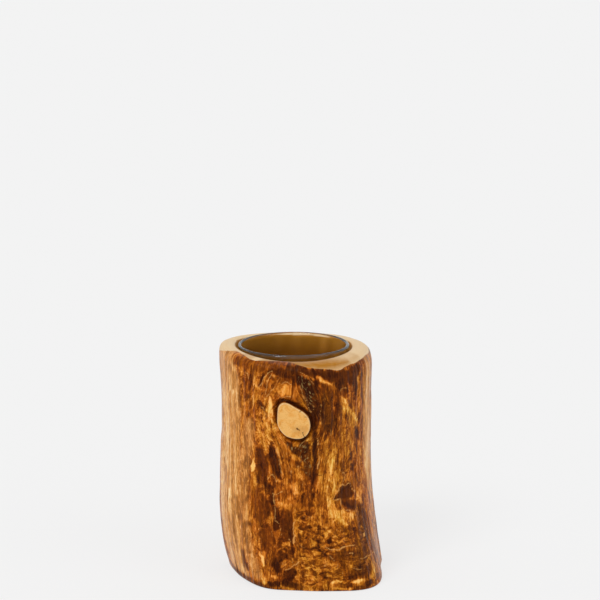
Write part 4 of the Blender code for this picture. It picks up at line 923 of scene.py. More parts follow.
class Tree:
    """A node tree under construction, with short calls for the nodes that the finishes use."""

    def __init__(self, tree):
        self.tree = tree

    def feed(self, socket, value):
        """Links a socket to the input, or sets a plain value on it."""
        if isinstance(value, bpy.types.NodeSocket):
            self.tree.links.new(value, socket)
        else:
            socket.default_value = value

    def fill(self, node, values):
        """Feeds a node's inputs by name or number."""
        for key, value in values.items():
            self.feed(node.inputs[key], value)

    def node(self, kind, values=None, **settings):
        made = self.tree.nodes.new(kind)
        for name, value in settings.items():
            setattr(made, name, value)
        self.fill(made, values or {})
        return made

    def maths(self, operation, *values):
        return self.node("ShaderNodeMath", dict(enumerate(values)), operation=operation).outputs[0]

    def plus(self, first, second):
        return self.maths("ADD", first, second)

    def times(self, first, second):
        return self.maths("MULTIPLY", first, second)

    def scaled(self, value, times, plus=0.0):
        return self.maths("MULTIPLY_ADD", value, times, plus)

    def centred(self, value, swing):
        """A value from 0 to 1 turned into one from minus half the swing to plus half of it."""
        return self.scaled(value, swing, -0.5 * swing)

    def limited(self, value, low=0.0, high=1.0):
        return self.node("ShaderNodeClamp", {"Value": value, "Min": low, "Max": high}).outputs[0]

    def step(self, value, low, high):
        """0 at low, 1 at high, and a smooth rise between."""
        inputs = {"Value": value, "From Min": low, "From Max": high}
        return self.node("ShaderNodeMapRange", inputs, interpolation_type="SMOOTHSTEP").outputs["Result"]

    def line(self, value, centre, wide, narrow):
        """1 within narrow of the centre, 0 beyond wide, and a smooth fall between."""
        return self.step(self.maths("ABSOLUTE", self.scaled(value, 1.0, -centre)), wide, narrow)

    def mix(self, share, first, second, mode="MIX"):
        """Two colours mixed, each a socket or red, green and blue."""
        made = self.node("ShaderNodeMix", {0: share}, data_type="RGBA", blend_type=mode)
        for index, value in ((6, first), (7, second)):
            self.feed(made.inputs[index], value if isinstance(value, bpy.types.NodeSocket) else (*value, 1.0))
        return made.outputs[2]

    def between(self, share, first, second):
        """Two values mixed."""
        return self.node("ShaderNodeMix", {0: share, 2: first, 3: second}, data_type="FLOAT").outputs[0]

    def attribute(self, name, output="Fac"):
        return self.node("ShaderNodeAttribute", attribute_name=name).outputs[output]

    def vector(self, operation, *values, output="Vector"):
        made = self.node("ShaderNodeVectorMath", dict(enumerate(values)), operation=operation)
        return made.outputs[output]

    def stretched(self, vector, across, along):
        """A place scaled for a pattern, by one number across the fibres and another along them."""
        factors = self.node("ShaderNodeCombineXYZ", {"X": across, "Y": across, "Z": along}).outputs[0]
        return self.vector("MULTIPLY", vector, factors)

    def noise(self, vector, scale=1.0, detail=2.0, roughness=0.5, distortion=0.0):
        inputs = {
            "Vector": vector,
            "Scale": scale,
            "Detail": detail,
            "Roughness": roughness,
            "Distortion": distortion,
        }
        return self.node("ShaderNodeTexNoise", inputs).outputs["Fac"]

    def ramp(self, value, stops):
        made = self.node("ShaderNodeValToRGB", {"Fac": value})
        elements = made.color_ramp.elements
        while len(elements) < len(stops):
            elements.new(1.0)
        for element, (position, tone) in zip(elements, stops):
            element.position = position
            element.color = (*tone, 1.0)
        return made.outputs["Color"]

    def bump(self, height, strength, distance):
        inputs = {"Strength": strength, "Distance": distance, "Height": height}
        return self.node("ShaderNodeBump", inputs).outputs["Normal"]

    def group(self, group, **values):
        """A node group placed in the tree with its own values, and its outputs."""
        return self.node("ShaderNodeGroup", values, node_tree=group).outputs


def shader_group(name, place, numbers, *outputs):
    """A new shader node group: its Tree, its inputs and a call that links its outputs."""
    tree = bpy.data.node_groups.new(name, "ShaderNodeTree")
    tree.interface.new_socket(place, in_out="INPUT", socket_type="NodeSocketVector")
    for label, value in numbers.items():
        socket = tree.interface.new_socket(label, in_out="INPUT", socket_type="NodeSocketFloat")
        socket.default_value = value
    for label in outputs:
        tree.interface.new_socket(label, in_out="OUTPUT", socket_type="NodeSocketFloat")
    entry = tree.nodes.new("NodeGroupInput")
    leave = tree.nodes.new("NodeGroupOutput")

    def finish(**results):
        for label, value in results.items():
            tree.links.new(value, leave.inputs[label])
        return tree

    return Tree(tree), entry.outputs, finish


def grain_noise(t, given, across, along, **noise):
    """Noise on a group's grain, with so many features to the metre across the fibres, and along them."""
    return t.noise(t.stretched(given["Grain"], across, along), **noise)


def fibres_group():
    """Streaks that run along the wood's fibres."""
    numbers = {"Width": 0.001, "Length": 0.01, "Detail": 2.0}
    t, given, finish = shader_group("fibres", "Grain", numbers, "Value")
    across, along = t.maths("DIVIDE", 1.0, given["Width"]), t.maths("DIVIDE", 1.0, given["Length"])
    noise = grain_noise(t, given, across, along, detail=given["Detail"], roughness=0.55, distortion=0.15)
    return finish(Value=t.step(noise, 0.30, 0.70))


def burl_group():
    """Wavy, mostly level strokes of burled wood."""
    t, given, finish = shader_group("burl", "Grain", {"Size": 0.004}, "Value")
    across, along = t.maths("DIVIDE", 1.0, given["Size"]), t.maths("DIVIDE", 1.7, given["Size"])
    noise = grain_noise(t, given, across, along, detail=4.0, roughness=0.68, distortion=1.3)
    return finish(Value=t.step(noise, 0.30, 0.72))


def marbling_group():
    """Dark islands of heartwood, with a pale line round each."""
    numbers = {"Width": 0.003, "Length": 0.008, "Level": 0.42}
    t, given, finish = shader_group("marbling", "Grain", numbers, "Island", "Outline")
    across, along = t.maths("DIVIDE", 1.0, given["Width"]), t.maths("DIVIDE", 1.0, given["Length"])
    noise = grain_noise(t, given, across, along, detail=3.0, roughness=0.6, distortion=0.7)
    above = t.maths("SUBTRACT", noise, given["Level"])
    return finish(Island=t.step(above, 0.014, -0.014), Outline=t.line(above, 0.030, 0.018, 0.004))


def rings_group():
    """Growth rings of sawn end grain about the trunk's pith, with pores."""
    numbers = {"Spacing": 0.0013, "Wobble": 0.003}
    t, given, finish = shader_group("end grain", "Place", numbers, "Ring", "Pore")
    pith = (0.0031, -0.0012)
    flat = t.vector("MULTIPLY", given["Place"], (1.0, 1.0, 0.05))
    off = t.vector("ADD", flat, (-pith[0], -pith[1], 0.0))
    distance = t.vector("LENGTH", off, output="Value")
    moved = t.maths("MULTIPLY_ADD", t.noise(flat, 55.0, detail=3.0), given["Wobble"], distance)
    turns = t.maths("SINE", t.times(t.maths("DIVIDE", moved, given["Spacing"]), TAU))
    line = t.node("ShaderNodeCombineXYZ", {"X": moved}).outputs[0]
    uneven = t.step(t.noise(line, 320.0, roughness=0.6), 0.25, 0.70)
    pores = t.step(t.noise(flat, 2600.0, detail=1.0, roughness=0.4), 0.62, 0.72)
    return finish(Ring=t.times(t.scaled(turns, 0.5, 0.5), uneven), Pore=pores)


def new_material(name):
    """A new node material: itself, its Tree and its Principled shader."""
    made = bpy.data.materials.new(name)
    made.use_nodes = True
    return made, Tree(made.node_tree), made.node_tree.nodes["Principled BSDF"]


def blended(first, share, second):
    """A colour made of a share of the first and the rest of the second."""
    return [a * share + b * (1.0 - share) for a, b in zip(first, second)]


def darkened(tone, share):
    """A colour at a share of its brightness."""
    return [a * share for a in tone]


class OliveWood:
    """Nodes of the wood's finish. Attributes of the mesh say which surface and which figure lies where."""

    def __init__(self, t, settings):
        self.t, self.settings = t, settings
        self.fibres, self.burl = fibres_group(), burl_group()
        self.rings, self.marbling = rings_group(), marbling_group()
        self.grain = t.attribute("grain", "Vector")
        self.place = t.node("ShaderNodeTexCoord").outputs["Object"]
        self.sapwood = t.attribute("sap")
        self.tone = t.attribute("tone")
        self.fine = self.streaks(Width=0.0007, Length=0.0055, Detail=3.0)
        self.mottle = self.along_grain(330.0, 190.0, detail=4.0, roughness=0.66, distortion=0.6)
        self.grit = self.along_grain(950.0, 620.0)
        self.cloud = t.noise(self.place, 210.0, detail=3.0, roughness=0.6, distortion=0.8)
        self.lively = t.scaled(t.attribute("plain"), -0.72, 0.92)
        # Pale golden colour of the pale lines, and of the painted glints
        self.light = blended(settings.pale, 0.15, settings.golden)
        self.islands = self.marbled()

    def streaks(self, **sizes):
        return self.t.group(self.fibres, Grain=self.grain, **sizes)["Value"]

    def along_grain(self, across, along, **noise):
        """Noise with so many features to the metre across the fibres, and along them."""
        return self.t.noise(self.t.stretched(self.grain, across, along), **noise)

    def marbled(self):
        """Tone of the dark islands and their pale outlines, faint in the sapwood and weaker at the front."""
        t = self.t
        large = t.group(self.marbling, Grain=self.grain, Width=0.0068, Length=0.0125, Level=0.41)
        small = t.group(self.marbling, Grain=self.grain, Width=0.0030, Length=0.0058, Level=0.40)
        islands = t.plus(t.scaled(large["Island"], -0.20, 0.05), t.scaled(large["Outline"], 0.13))
        islands = t.plus(islands, t.scaled(small["Island"], -0.17, 0.04))
        islands = t.plus(islands, t.scaled(small["Outline"], 0.12))
        islands = t.times(islands, t.scaled(self.sapwood, -0.9, 1.0))
        return t.times(islands, t.scaled(t.attribute("front"), -0.40, 1.0))

    def value(self):
        """How light the debarked wood is: the figure of the mesh, with fibres, burls, mottle and islands."""
        t, swirled = self.t, self.t.attribute("burl")
        short = self.streaks(Width=0.0019, Length=0.013, Detail=3.0)
        long = self.streaks(Width=0.0030, Length=0.0420, Detail=5.0)
        swirl = t.group(self.burl, Grain=self.grain, Size=0.0050)["Value"]
        straight = t.plus(t.centred(t.between(self.sapwood, short, long), 0.26), t.centred(self.fine, 0.24))
        straight = t.times(straight, t.scaled(self.sapwood, 0.35, 1.0))
        figure = t.between(swirled, straight, t.centred(swirl, 0.56))
        calm = t.limited(t.plus(t.scaled(swirled, -0.5, 0.9), t.scaled(self.sapwood, -0.25)))
        figure = t.plus(figure, t.times(t.centred(self.mottle, 1.0), calm))
        figure = t.plus(figure, t.centred(self.grit, 0.26))
        figure = t.plus(figure, self.islands)
        return t.plus(t.scaled(self.tone, 0.5, 0.44), t.times(figure, self.lively))

    def heartwood(self, value):
        """Colour of the heartwood at its value, drawn to yellow or to red."""
        t, s = self.t, self.settings
        stops = (
            (0.02, s.dark),
            (0.20, blended(s.dark, 0.58, s.brown)),
            (0.38, s.brown),
            (0.57, s.orange),
            (0.77, s.golden),
            (0.98, s.pale),
        )
        hue = self.along_grain(210.0, 90.0, distortion=0.4)
        yellow = t.limited(t.plus(t.attribute("olive"), t.centred(hue, 1.8)))
        red_cast, yellow_cast = (1.06, 0.82, 0.55), (0.95, 0.94, 0.50)
        return t.mix(1.0, t.ramp(value, stops), t.mix(yellow, red_cast, yellow_cast), "MULTIPLY")

    def sapwood_colour(self, value):
        """Colour of the sapwood at its value."""
        s = self.settings
        stops = (
            (0.06, darkened(s.orange, 0.55)),
            (0.34, darkened(s.sap, 0.60)),
            (0.54, s.sap),
            (0.76, s.sap_pale),
            (0.97, s.glint),
        )
        return self.t.ramp(value, stops)

    def debarked(self):
        """Colour of the debarked outside, with painted glint flecks in its lighter wood."""
        t, value = self.t, self.value()
        body = t.mix(self.sapwood, self.heartwood(value), self.sapwood_colour(value))
        # Painted glints: small pale golden flecks along the grain where the wood is lighter.
        painted_glints = t.step(self.along_grain(1050.0, 430.0, roughness=0.6), 0.60, 0.72)
        painted_glints = t.times(painted_glints, t.step(value, 0.30, 0.62))
        return t.mix(t.times(painted_glints, t.scaled(self.lively, 0.50)), body, self.light)

    def stub_face(self, inward):
        """Colour of the stub's sawn face: clouded and dusty, with painted shade towards its lower right and a
        painted highlight along its rim.
        """
        t, s = self.t, self.settings
        face = t.mix(t.step(self.cloud, 0.40, 0.72), s.stub_face, s.golden)
        dust = t.step(t.noise(self.place, 1300.0, detail=3.0, roughness=0.6), 0.50, 0.80)
        face = t.mix(t.scaled(dust, 0.7), face, s.orange)
        # Painted shade: the face darkens to brown where its tone is low, as at its lower right.
        face = t.mix(t.limited(t.scaled(self.tone, -1.5)), face, darkened(s.sap, 0.62))
        # Painted highlight: a cream line in the sawn top's colour just inside the face's outline, where its
        # rounded rim catches the light.
        return t.mix(t.scaled(t.line(inward, 0.0004, 0.0006, 0.0001), 0.5), face, s.sawn)

    def lined(self, body):
        """The colour with the pale and dark lines and the speckles of the mesh laid over it."""
        t, s, ragged = self.t, self.settings, self.t.centred(self.grit, 0.6)
        pale = t.step(t.plus(t.attribute("pale"), ragged), 0.22, 0.82)
        dark = t.step(t.plus(t.attribute("dark"), ragged), 0.30, 0.70)
        body = t.mix(t.scaled(pale, 0.72), body, self.light)
        body = t.mix(t.scaled(dark, 0.9), body, s.dark)
        specks = t.step(self.along_grain(1.0, 0.38, scale=1250.0, roughness=0.6), 0.55, 0.66)
        return t.mix(t.scaled(t.times(t.attribute("speckle"), specks), 0.7), body, s.mould)

    def sawn_top(self):
        """Colour of the end grain: cream, oiled where stained, and deep brown down the bore as painted shade,
        where the value is past 1.
        """
        t, s = self.t, self.settings
        end, stain_and_bore_shade = t.group(self.rings, Place=self.place), t.attribute("stain_and_bore_shade")
        cream = t.mix(t.scaled(end["Ring"], 0.28), s.sawn, s.sap)
        cream = t.mix(t.scaled(end["Pore"], 0.25), cream, s.orange)
        oiled = t.mix(t.scaled(end["Ring"], 0.35), s.stained, s.golden)
        cream = t.mix(t.limited(t.plus(stain_and_bore_shade, t.centred(self.cloud, 0.35))), cream, oiled)
        # Painted shade down the bore: past 1 the value turns the wood deep brown.
        return t.mix(t.limited(t.scaled(stain_and_bore_shade, 1.0, -1.0), 0.0, 0.72), cream, blended(s.dark, 0.35, s.brown))


def wood_material(settings):
    """Oiled olive wood: debarked outside, sawn top, stub, bore and base."""
    made, t, shader = new_material("oiled olive wood")
    wood = OliveWood(t, settings)
    inward = t.attribute("stub")
    on_stub = t.step(inward, -0.0002, 0.0001)
    ragged = t.centred(wood.mottle, 0.0010)
    sawn = t.step(t.plus(t.attribute("sawn"), ragged), -0.0002, 0.0002)
    body = t.mix(on_stub, wood.debarked(), wood.stub_face(inward))
    body = t.mix(sawn, wood.lined(body), wood.sawn_top())
    height = t.plus(t.scaled(wood.fine, 0.3), t.scaled(wood.mottle, 0.6))
    height = t.plus(height, t.scaled(wood.islands, 1.5))
    roughness = t.scaled(wood.mottle, 0.22, 0.30)
    values = {
        "Base Color": body,
        "Roughness": t.between(t.maths("MAXIMUM", sawn, on_stub), roughness, 0.55),
        "Specular IOR Level": 0.1,
        "Specular Tint": (1.0, 0.65, 0.25, 1.0),
        "Coat Weight": 0.38,
        "Coat Roughness": 0.22,
        "Coat IOR": 1.15,
        "Sheen Weight": 0.12,
        "Sheen Roughness": 0.25,
        "Sheen Tint": (1.0, 0.82, 0.60, 1.0),
        "Normal": t.bump(height, 0.35, 0.0004),
    }
    t.fill(shader, values)
    return made


def add_object(name, data):
    """A new object in the scene."""
    made = bpy.data.objects.new(name, data)
    bpy.context.scene.collection.objects.link(made)
    return made


def add_mesh(name, points, faces, material):
    """A smooth-shaded mesh object."""
    mesh = bpy.data.meshes.new(name)
    mesh.from_pydata(points, [], faces)
    mesh.materials.append(material)
    mesh.shade_smooth()
    return add_object(name, mesh)


def grid_faces(rows, columns):
    """Quads between the rows of a closed ring grid, and its two ends closed by the poles that follow it."""
    corner = np.arange(rows * columns).reshape(rows, columns)
    right = np.roll(corner, -1, 1)
    quads = np.stack([corner[:-1], right[:-1], right[1:], corner[1:]], axis=2).reshape(-1, 4)
    low, high = rows * columns, rows * columns + 1
    bottom = [(low, b, a) for a, b in zip(corner[0], right[0])]
    top = [(high, a, b) for a, b in zip(corner[-1], right[-1])]
    return quads.tolist() + [tuple(map(int, f)) for f in bottom + top]


def set_values(mesh, name, values):
    """A number or a place at each point of a mesh, for the finish to read."""
    kind, key = ("FLOAT_VECTOR", "vector") if values.ndim > 1 else ("FLOAT", "value")
    made = mesh.attributes.new(name, kind, "POINT")
    made.data.foreach_set(key, values.astype(np.float32).ravel())


class WoodGrid:
    """The trunk's mesh as rings of (angle, radius, height): up the wall, over the rim and down the bore."""

    def __init__(self, settings):
        tree = wood_tree()
        self.stub = Stub(settings, tree)
        self.trunk = Trunk(settings, tree, self.stub)
        self.angles = column_angles(self.stub, settings)
        wall = self.wall_rings(settings)
        base = [self.ring((wall[0, :, 1] - FOOT_INSET) * share, 0.0) for share in BASE_SHARES]
        self.rim, self.arcs = self.trunk.rim_rows(self.angles, RIM_ROWS)
        over = [self.ring(row[:, 0], row[:, 1]) for row in self.rim[1:]]
        self.points = np.concatenate([base, wall, over, self.bore_rings(settings)])
        ends = np.cumsum([len(base), len(wall), len(over)])
        self.base, self.wall = slice(0, ends[0]), slice(ends[0], ends[1])
        self.over, self.bore = slice(ends[1], ends[2]), slice(ends[2], None)

    def ring(self, radius, height):
        """One ring of the grid, at a radius and a height, each one number or one for each column."""
        every = np.ones(len(self.angles))
        return np.stack([self.angles, radius * every, height * every], axis=1)

    def wall_rings(self, settings):
        """Rings up the outside from the base's rounded edge to the core's height, laid round the stub."""
        heights = np.concatenate([edge_heights(settings, 75.0), wall_heights(self.stub, settings)])
        angle, height = np.meshgrid(self.angles, heights)
        angle, height = self.stub.drawn_round(angle, height, settings.stub_window)
        return np.stack([angle, self.trunk.radius(angle, height), height], axis=2)

    def bore_rings(self, settings):
        """Rings down the bore, round its corner and in to the middle of its floor."""
        bore, floor, corner = self.trunk.bore_radius, self.trunk.floor, settings.bore_corner
        rings = [self.ring(bore, z) for z in np.linspace(CORE_HEIGHT, floor + corner, BORE_ROWS)[1:]]
        for turn in np.radians((30.0, 60.0, 90.0)):
            out, up = corner * (1.0 - math.cos(turn)), corner * (1.0 - math.sin(turn))
            rings.append(self.ring(bore - out, floor + up))
        return rings + [self.ring(share * bore, floor) for share in FLOOR_SHARES]

    def sawn_edge(self):
        """Arc over the rim, from the core's height, at which the sawn top begins at each angle."""
        found = []
        for arc, out, high in SAWN_EDGE:
            angle = arc * MM / TRUNK_RADIUS
            column = int(np.argmin(np.abs(np.angle(np.exp(1j * (self.angles - angle))))))
            gap = np.hypot(self.rim[:, column, 0] - out * MM, self.rim[:, column, 1] - high * MM)
            found.append((angle, self.arcs[int(np.argmin(gap)), column]))
        found.sort()
        at, arc = np.array(found).T
        at = np.concatenate([at[-2:] - TAU, at, at[:2] + TAU])
        arc = np.concatenate([arc[-2:], arc, arc[:2]])
        return np.interp(self.angles, at, arc)

    def measures(self):
        """Height along the surface, distance past the sawn edge, and a painted shade that deepens down the
        bore, at each point.
        """
        _, radius, height = np.moveaxis(self.points, 2, 0)
        up = height.copy()
        up[self.over] = CORE_HEIGHT + self.arcs[1:]
        up[self.bore] = 1.0
        sawn = up - (CORE_HEIGHT + self.sawn_edge())[None, :]
        sawn[self.base] = 0.02
        in_bore = (radius < self.trunk.bore_radius + 0.0007) & (height > 0.5 * self.trunk.floor)
        # Painted shade in the bore: about 0.1 near the rim, rising to 1.1 some 24 mm below the top.
        depth = 0.1 + smooth(WOOD_BOX[1].z - height, -0.004, 0.024)
        return up, sawn, np.where(in_bore, depth, 0.0)


def ground_figure(angle, height, behind):
    """Tone, sapwood, yellow and pale lines as noise alone gives them: faint at the front, free behind."""
    middling = ripples(angle, height, "middling tone")
    broad = ripples(angle, height, "broad tone")
    dim = ripples(angle, height, "dark islands") + 0.3 * middling
    bright = ripples(angle, height, "bright islands") + 0.3 * middling
    tone = 0.04 - 0.06 * behind + (0.08 + 0.06 * behind) * broad + 0.10 * middling
    sap = smooth(0.6 * ripples(angle, height, "sapwood") + 0.15 * middling, 0.25, 0.50) * behind
    tone -= 0.48 * behind * (1.0 - 0.7 * sap) * smooth(dim, 0.92, 1.02)
    tone += 0.34 * behind * (1.0 - 0.7 * sap) * smooth(bright, 1.10, 1.22) + 0.14 * sap
    yellow = 0.3 + behind * 0.5 * smooth(ripples(angle, height, "yellow"), -1.2, 1.2)
    pale = 0.55 * behind * np.maximum(bell(dim - 0.84, 0.05), bell(bright - 1.05, 0.04))
    return tone, sap, yellow, pale


def dark_ring(stub, angle, height, beyond, outside):
    """The dark ring round the stub's face, 0 to 1, weaker at its lower left."""
    below_left = smooth(stub.x - angle * TRUNK_RADIUS + 0.6 * (stub.z - height), 0.0, 0.009)
    ring = bell(beyond - RING_OUT, RING_SPREAD) * smooth(beyond, 0.0001, 0.0007)
    return ring * outside * (1.0 - 0.5 * below_left)


def wood_figure(angle, height, stub, beyond, outside, sawn, bore_shade):
    """Values by name for the finish: tone, sapwood, lines and the rest, at each point of the grid."""
    arc, high = angle * TRUNK_RADIUS / MM, height / MM
    sideways = ripples(angle, height, "ragged sideways")
    finer = ripples(angle, height, "ragged sideways, finer")
    ragged_arc = arc + 0.30 * sideways + 0.20 * finer
    ragged_high = high + 0.40 * ripples(angle, height, "ragged upwards")
    tone, sap, yellow, pale = ground_figure(angle, height, smooth(np.abs(arc), *BACK_FADE))
    ring = dark_ring(stub, angle, height, beyond, outside)

    def ragged(field, chains):
        return painted(field, chains, ragged_arc, ragged_high)

    tone = ragged(tone, [patch[1:] for patch in PATCHES]) - 0.9 * ring
    stain_and_bore_shade = painted(np.zeros_like(tone), STAINS, arc, high)
    dark = drawn(np.zeros_like(tone), DARK_LINES, ragged_arc, ragged_high, DARK_WIDTH)
    return {
        "tone": tone,
        "sap": ragged(sap, SAPWOOD),
        "burl": ragged(np.zeros_like(tone), BURLS),
        "speckle": ragged(np.zeros_like(tone), SPECKLES),
        "plain": ragged(np.zeros_like(tone), PLAIN),
        # In the bore the value passes 1, for the painted shade that darkens it downwards.
        "stain_and_bore_shade": np.where(bore_shade > 0.0, 0.8 + bore_shade, stain_and_bore_shade),
        "olive": painted(yellow, OLIVE, arc, high),
        "front": 1.0 - smooth(np.abs(arc), *FRONT_FADE),
        "pale": drawn(pale, PALE_LINES, ragged_arc, ragged_high, PALE_WIDTH),
        "dark": np.maximum(dark, 0.45 * ring),
        "sawn": sawn,
        "stub": np.clip(-beyond, -0.05, 0.05),
    }


def fibre_lines(angle, height, stub):
    """Angle and height by which the figure is laid: fibres wander a little, and part round the stub."""
    across = angle * TRUNK_RADIUS - stub.x
    across = across + 0.0008 * ripples(angle, height, "wandering")
    across = across + 0.0002 * ripples(angle, height, "wandering, finer")
    above = height - stub.z
    core = stub.mean + 0.0015
    share = core**2 / np.maximum(across**2 + above**2, core**2)
    share = np.where(np.abs(angle) < STUB_SIDE, share, 0.0)
    return (stub.x + across * (1.0 - share)) / TRUNK_RADIUS, stub.z + above * (1.0 + share)


def on_cylinder(angle, radius, height):
    """Places at angles from the front, radii and heights."""
    return np.stack([radius * np.sin(angle), -radius * np.cos(angle), height], axis=2)


def relief(settings, angle, height, sawn, beyond):
    """How far the debarked wood stands proud of its solid: ridges of the fibres, less the hollows."""
    ridge = settings.ridge * ripples(angle, height, "ridge")
    ridge += 0.5 * settings.ridge * ripples(angle, height, "fine ridge")
    hollow = painted(np.zeros_like(height), HOLLOWS, angle * TRUNK_RADIUS / MM, height / MM) * MM
    fade = smooth(height, 0.0, 0.004) * smooth(-sawn, -0.001, 0.004)
    return (ridge - SKIN_INSET - hollow) * fade * smooth(beyond, 0.0, 0.004)


def with_stub(points, normals, stub, beyond, outside):
    """The points with the stub's face made flat and the groove round it sunk."""
    face = smooth(-beyond, -0.0004, 0.0003)
    groove = -GROOVE_DEPTH * bell(beyond - GROOVE_OUT, GROOVE_SPREAD)
    flat = points.copy()
    flat[:, :, 1] = -stub.front
    points = points + normals * (groove * (1.0 - face))[:, :, None] * outside[:, :, None]
    return points + (flat - points) * (face * outside)[:, :, None]


def make_wood_body(settings):
    """The trunk with its relief, its stub's face and the values that its finish reads."""
    grid = WoodGrid(settings)
    stub = grid.stub
    angle, radius, height = np.moveaxis(grid.points, 2, 0)
    rows, columns = angle.shape
    up, sawn, bore_shade = grid.measures()
    outside = np.zeros((rows, columns))
    outside[grid.wall] = 1.0
    beyond = np.where(outside > 0.0, stub.beyond(angle, height), 1.0)

    points = on_cylinder(angle, radius, height)
    normals = surface_normals(points)
    shift = relief(settings, angle, height, sawn, beyond)
    shift[grid.base] = 0.0
    shift[grid.bore] = 0.0
    points = with_stub(points + normals * shift[:, :, None], normals, stub, beyond, outside)
    points = np.clip(points, np.array(WOOD_BOX[0]), np.array(WOOD_BOX[1]))

    poles = [(0.0, 0.0, 0.0), (0.0, 0.0, float(grid.trunk.floor))]
    vertices = points.reshape(-1, 3).tolist() + poles
    made = add_mesh("vase_body", vertices, grid_faces(rows, columns), wood_material(settings))
    turn, along = fibre_lines(angle, up, stub)
    grain = np.concatenate([on_cylinder(turn, TRUNK_RADIUS, along).reshape(-1, 3), np.zeros((2, 3))])
    set_values(made.data, "grain", grain)
    for name, values in wood_figure(angle, height, stub, beyond, outside, sawn, bore_shade).items():
        set_values(made.data, name, np.concatenate([values.ravel(), np.zeros(len(poles))]))
    return made


class VASE_OT_wood_body(bpy.types.Operator):
    """Build the debarked trunk with its sawn top, bore and branch stub"""

    bl_idname = "vase.wood_body"
    bl_label = "Wood body"

    def execute(self, context):
        body = make_wood_body(context.scene.vase_wood)
        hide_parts("wood_body")
        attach(body, "wood")
        return {"FINISHED"}


def arc_points(centre, radius, start, end, steps):
    """Points on an arc, from one angle to another in degrees."""
    turns = [math.radians(start + (end - start) * i / steps) for i in range(steps + 1)]
    return [(centre[0] + radius * math.cos(t), centre[1] + radius * math.sin(t)) for t in turns]


def glass_profile(settings):
    """Half section of the glass: up from its inner floor, over the lip and down to its pushed-up foot.

    A point beside each end of an arc holds the smooth shading off the flat stretches.
    """
    lip, beside = settings.wall / 2.0, 0.0006
    inside, outside = settings.radius - settings.wall, settings.radius
    inner, outer = inside - settings.inner_corner, outside - settings.outer_corner
    floor, top = settings.base + settings.inner_corner, settings.height - lip
    foot = outer - settings.foot_width
    slope = foot - 2.0 * settings.punt
    profile = [(0.0, settings.base), (inner - beside, settings.base)]
    profile += arc_points((inner, floor), settings.inner_corner, -90.0, 0.0, 12)
    profile += [(inside, floor + beside), (inside, top - beside)]
    profile += arc_points((outside - lip, top), lip, 180.0, 0.0, 14)
    profile += [(outside, top - beside), (outside, settings.outer_corner + beside)]
    profile += arc_points((outer, settings.outer_corner), settings.outer_corner, 0.0, -90.0, 10)
    profile += [(foot, 0.0), (slope, settings.punt), (slope - beside, settings.punt), (0.0, settings.punt)]
    return profile


def turned_tree():
    """Geometry nodes that turn an open outline about the Z axis into a closed skin."""
    tree = bpy.data.node_groups.new("turned piece", "GeometryNodeTree")
    sockets = (
        ("Outline", "NodeSocketGeometry"),
        ("Steps", "NodeSocketInt"),
        ("Weld", "NodeSocketFloat"),
        ("Finish", "NodeSocketMaterial"),
    )
    for label, kind in sockets:
        tree.interface.new_socket(label, in_out="INPUT", socket_type=kind)
    tree.interface.new_socket("Skin", in_out="OUTPUT", socket_type="NodeSocketGeometry")
    t = Tree(tree)
    given = tree.nodes.new("NodeGroupInput").outputs

    def shape(kind, values, output="Geometry"):
        return t.node("GeometryNode" + kind, values).outputs[output]

    outline = shape("MeshToCurve", {"Mesh": given["Outline"]}, "Curve")
    circle = shape("CurvePrimitiveCircle", {"Resolution": given["Steps"], "Radius": given["Weld"]}, "Curve")
    swept = shape("CurveToMesh", {"Curve": circle, "Profile Curve": outline}, "Mesh")
    across_pole = t.times(given["Weld"], 2.5)
    skin = shape("MergeByDistance", {"Geometry": swept, "Distance": across_pole})
    skin = shape("SetShadeSmooth", {"Geometry": skin})
    skin = shape("RealizeInstances", {"Geometry": skin})
    skin = shape("SetMaterial", {"Geometry": skin, "Material": given["Finish"]})
    t.fill(tree.nodes.new("NodeGroupOutput"), {"Skin": skin})
    return tree


def modelled(name, outline, tree, values):
    """The plain mesh object that a geometry tree makes of an outline."""
    source = bpy.data.meshes.new(name)
    source.from_pydata(outline, [(i, i + 1) for i in range(len(outline) - 1)], [])
    draft = add_object(name + "_draft", source)
    modifier = draft.modifiers.new("build", "NODES")
    modifier.node_group = tree
    for item in tree.interface.items_tree:
        if item.item_type == "SOCKET" and item.in_out == "INPUT" and item.name in values:
            modifier[item.identifier] = values[item.name]
    evaluated = draft.evaluated_get(bpy.context.evaluated_depsgraph_get())
    mesh = bpy.data.meshes.new_from_object(evaluated)
    bpy.data.objects.remove(draft)
    return add_object(name, mesh)


def glass_material(settings):
    """Clear glass, a little green, that lets the light through to what it shades."""
    made, t, shader = new_material("clear glass")
    place = t.node("ShaderNodeTexCoord").outputs["Object"]
    waves = t.noise(t.stretched(place, 1.0, 0.3), 45.0, detail=1.0, roughness=0.4)
    values = {
        "Base Color": t.mix(t.scaled(waves, 0.2), settings.tint, (1.0, 1.0, 1.0)),
        "Metallic": 0.0,
        "Roughness": t.scaled(waves, 0.02, 0.005),
        "IOR": 1.5,
        "Transmission Weight": 1.0,
        "Normal": t.bump(waves, 0.1, 0.0002),
    }
    t.fill(shader, values)
    clear = t.node("ShaderNodeBsdfTransparent", {"Color": (*settings.tint, 1.0)}).outputs[0]
    shadow = t.node("ShaderNodeLightPath").outputs["Is Shadow Ray"]
    seen = t.node("ShaderNodeMixShader", {0: shadow, 1: shader.outputs[0], 2: clear}).outputs[0]
    t.fill(made.node_tree.nodes["Material Output"], {"Surface": seen})
    return made


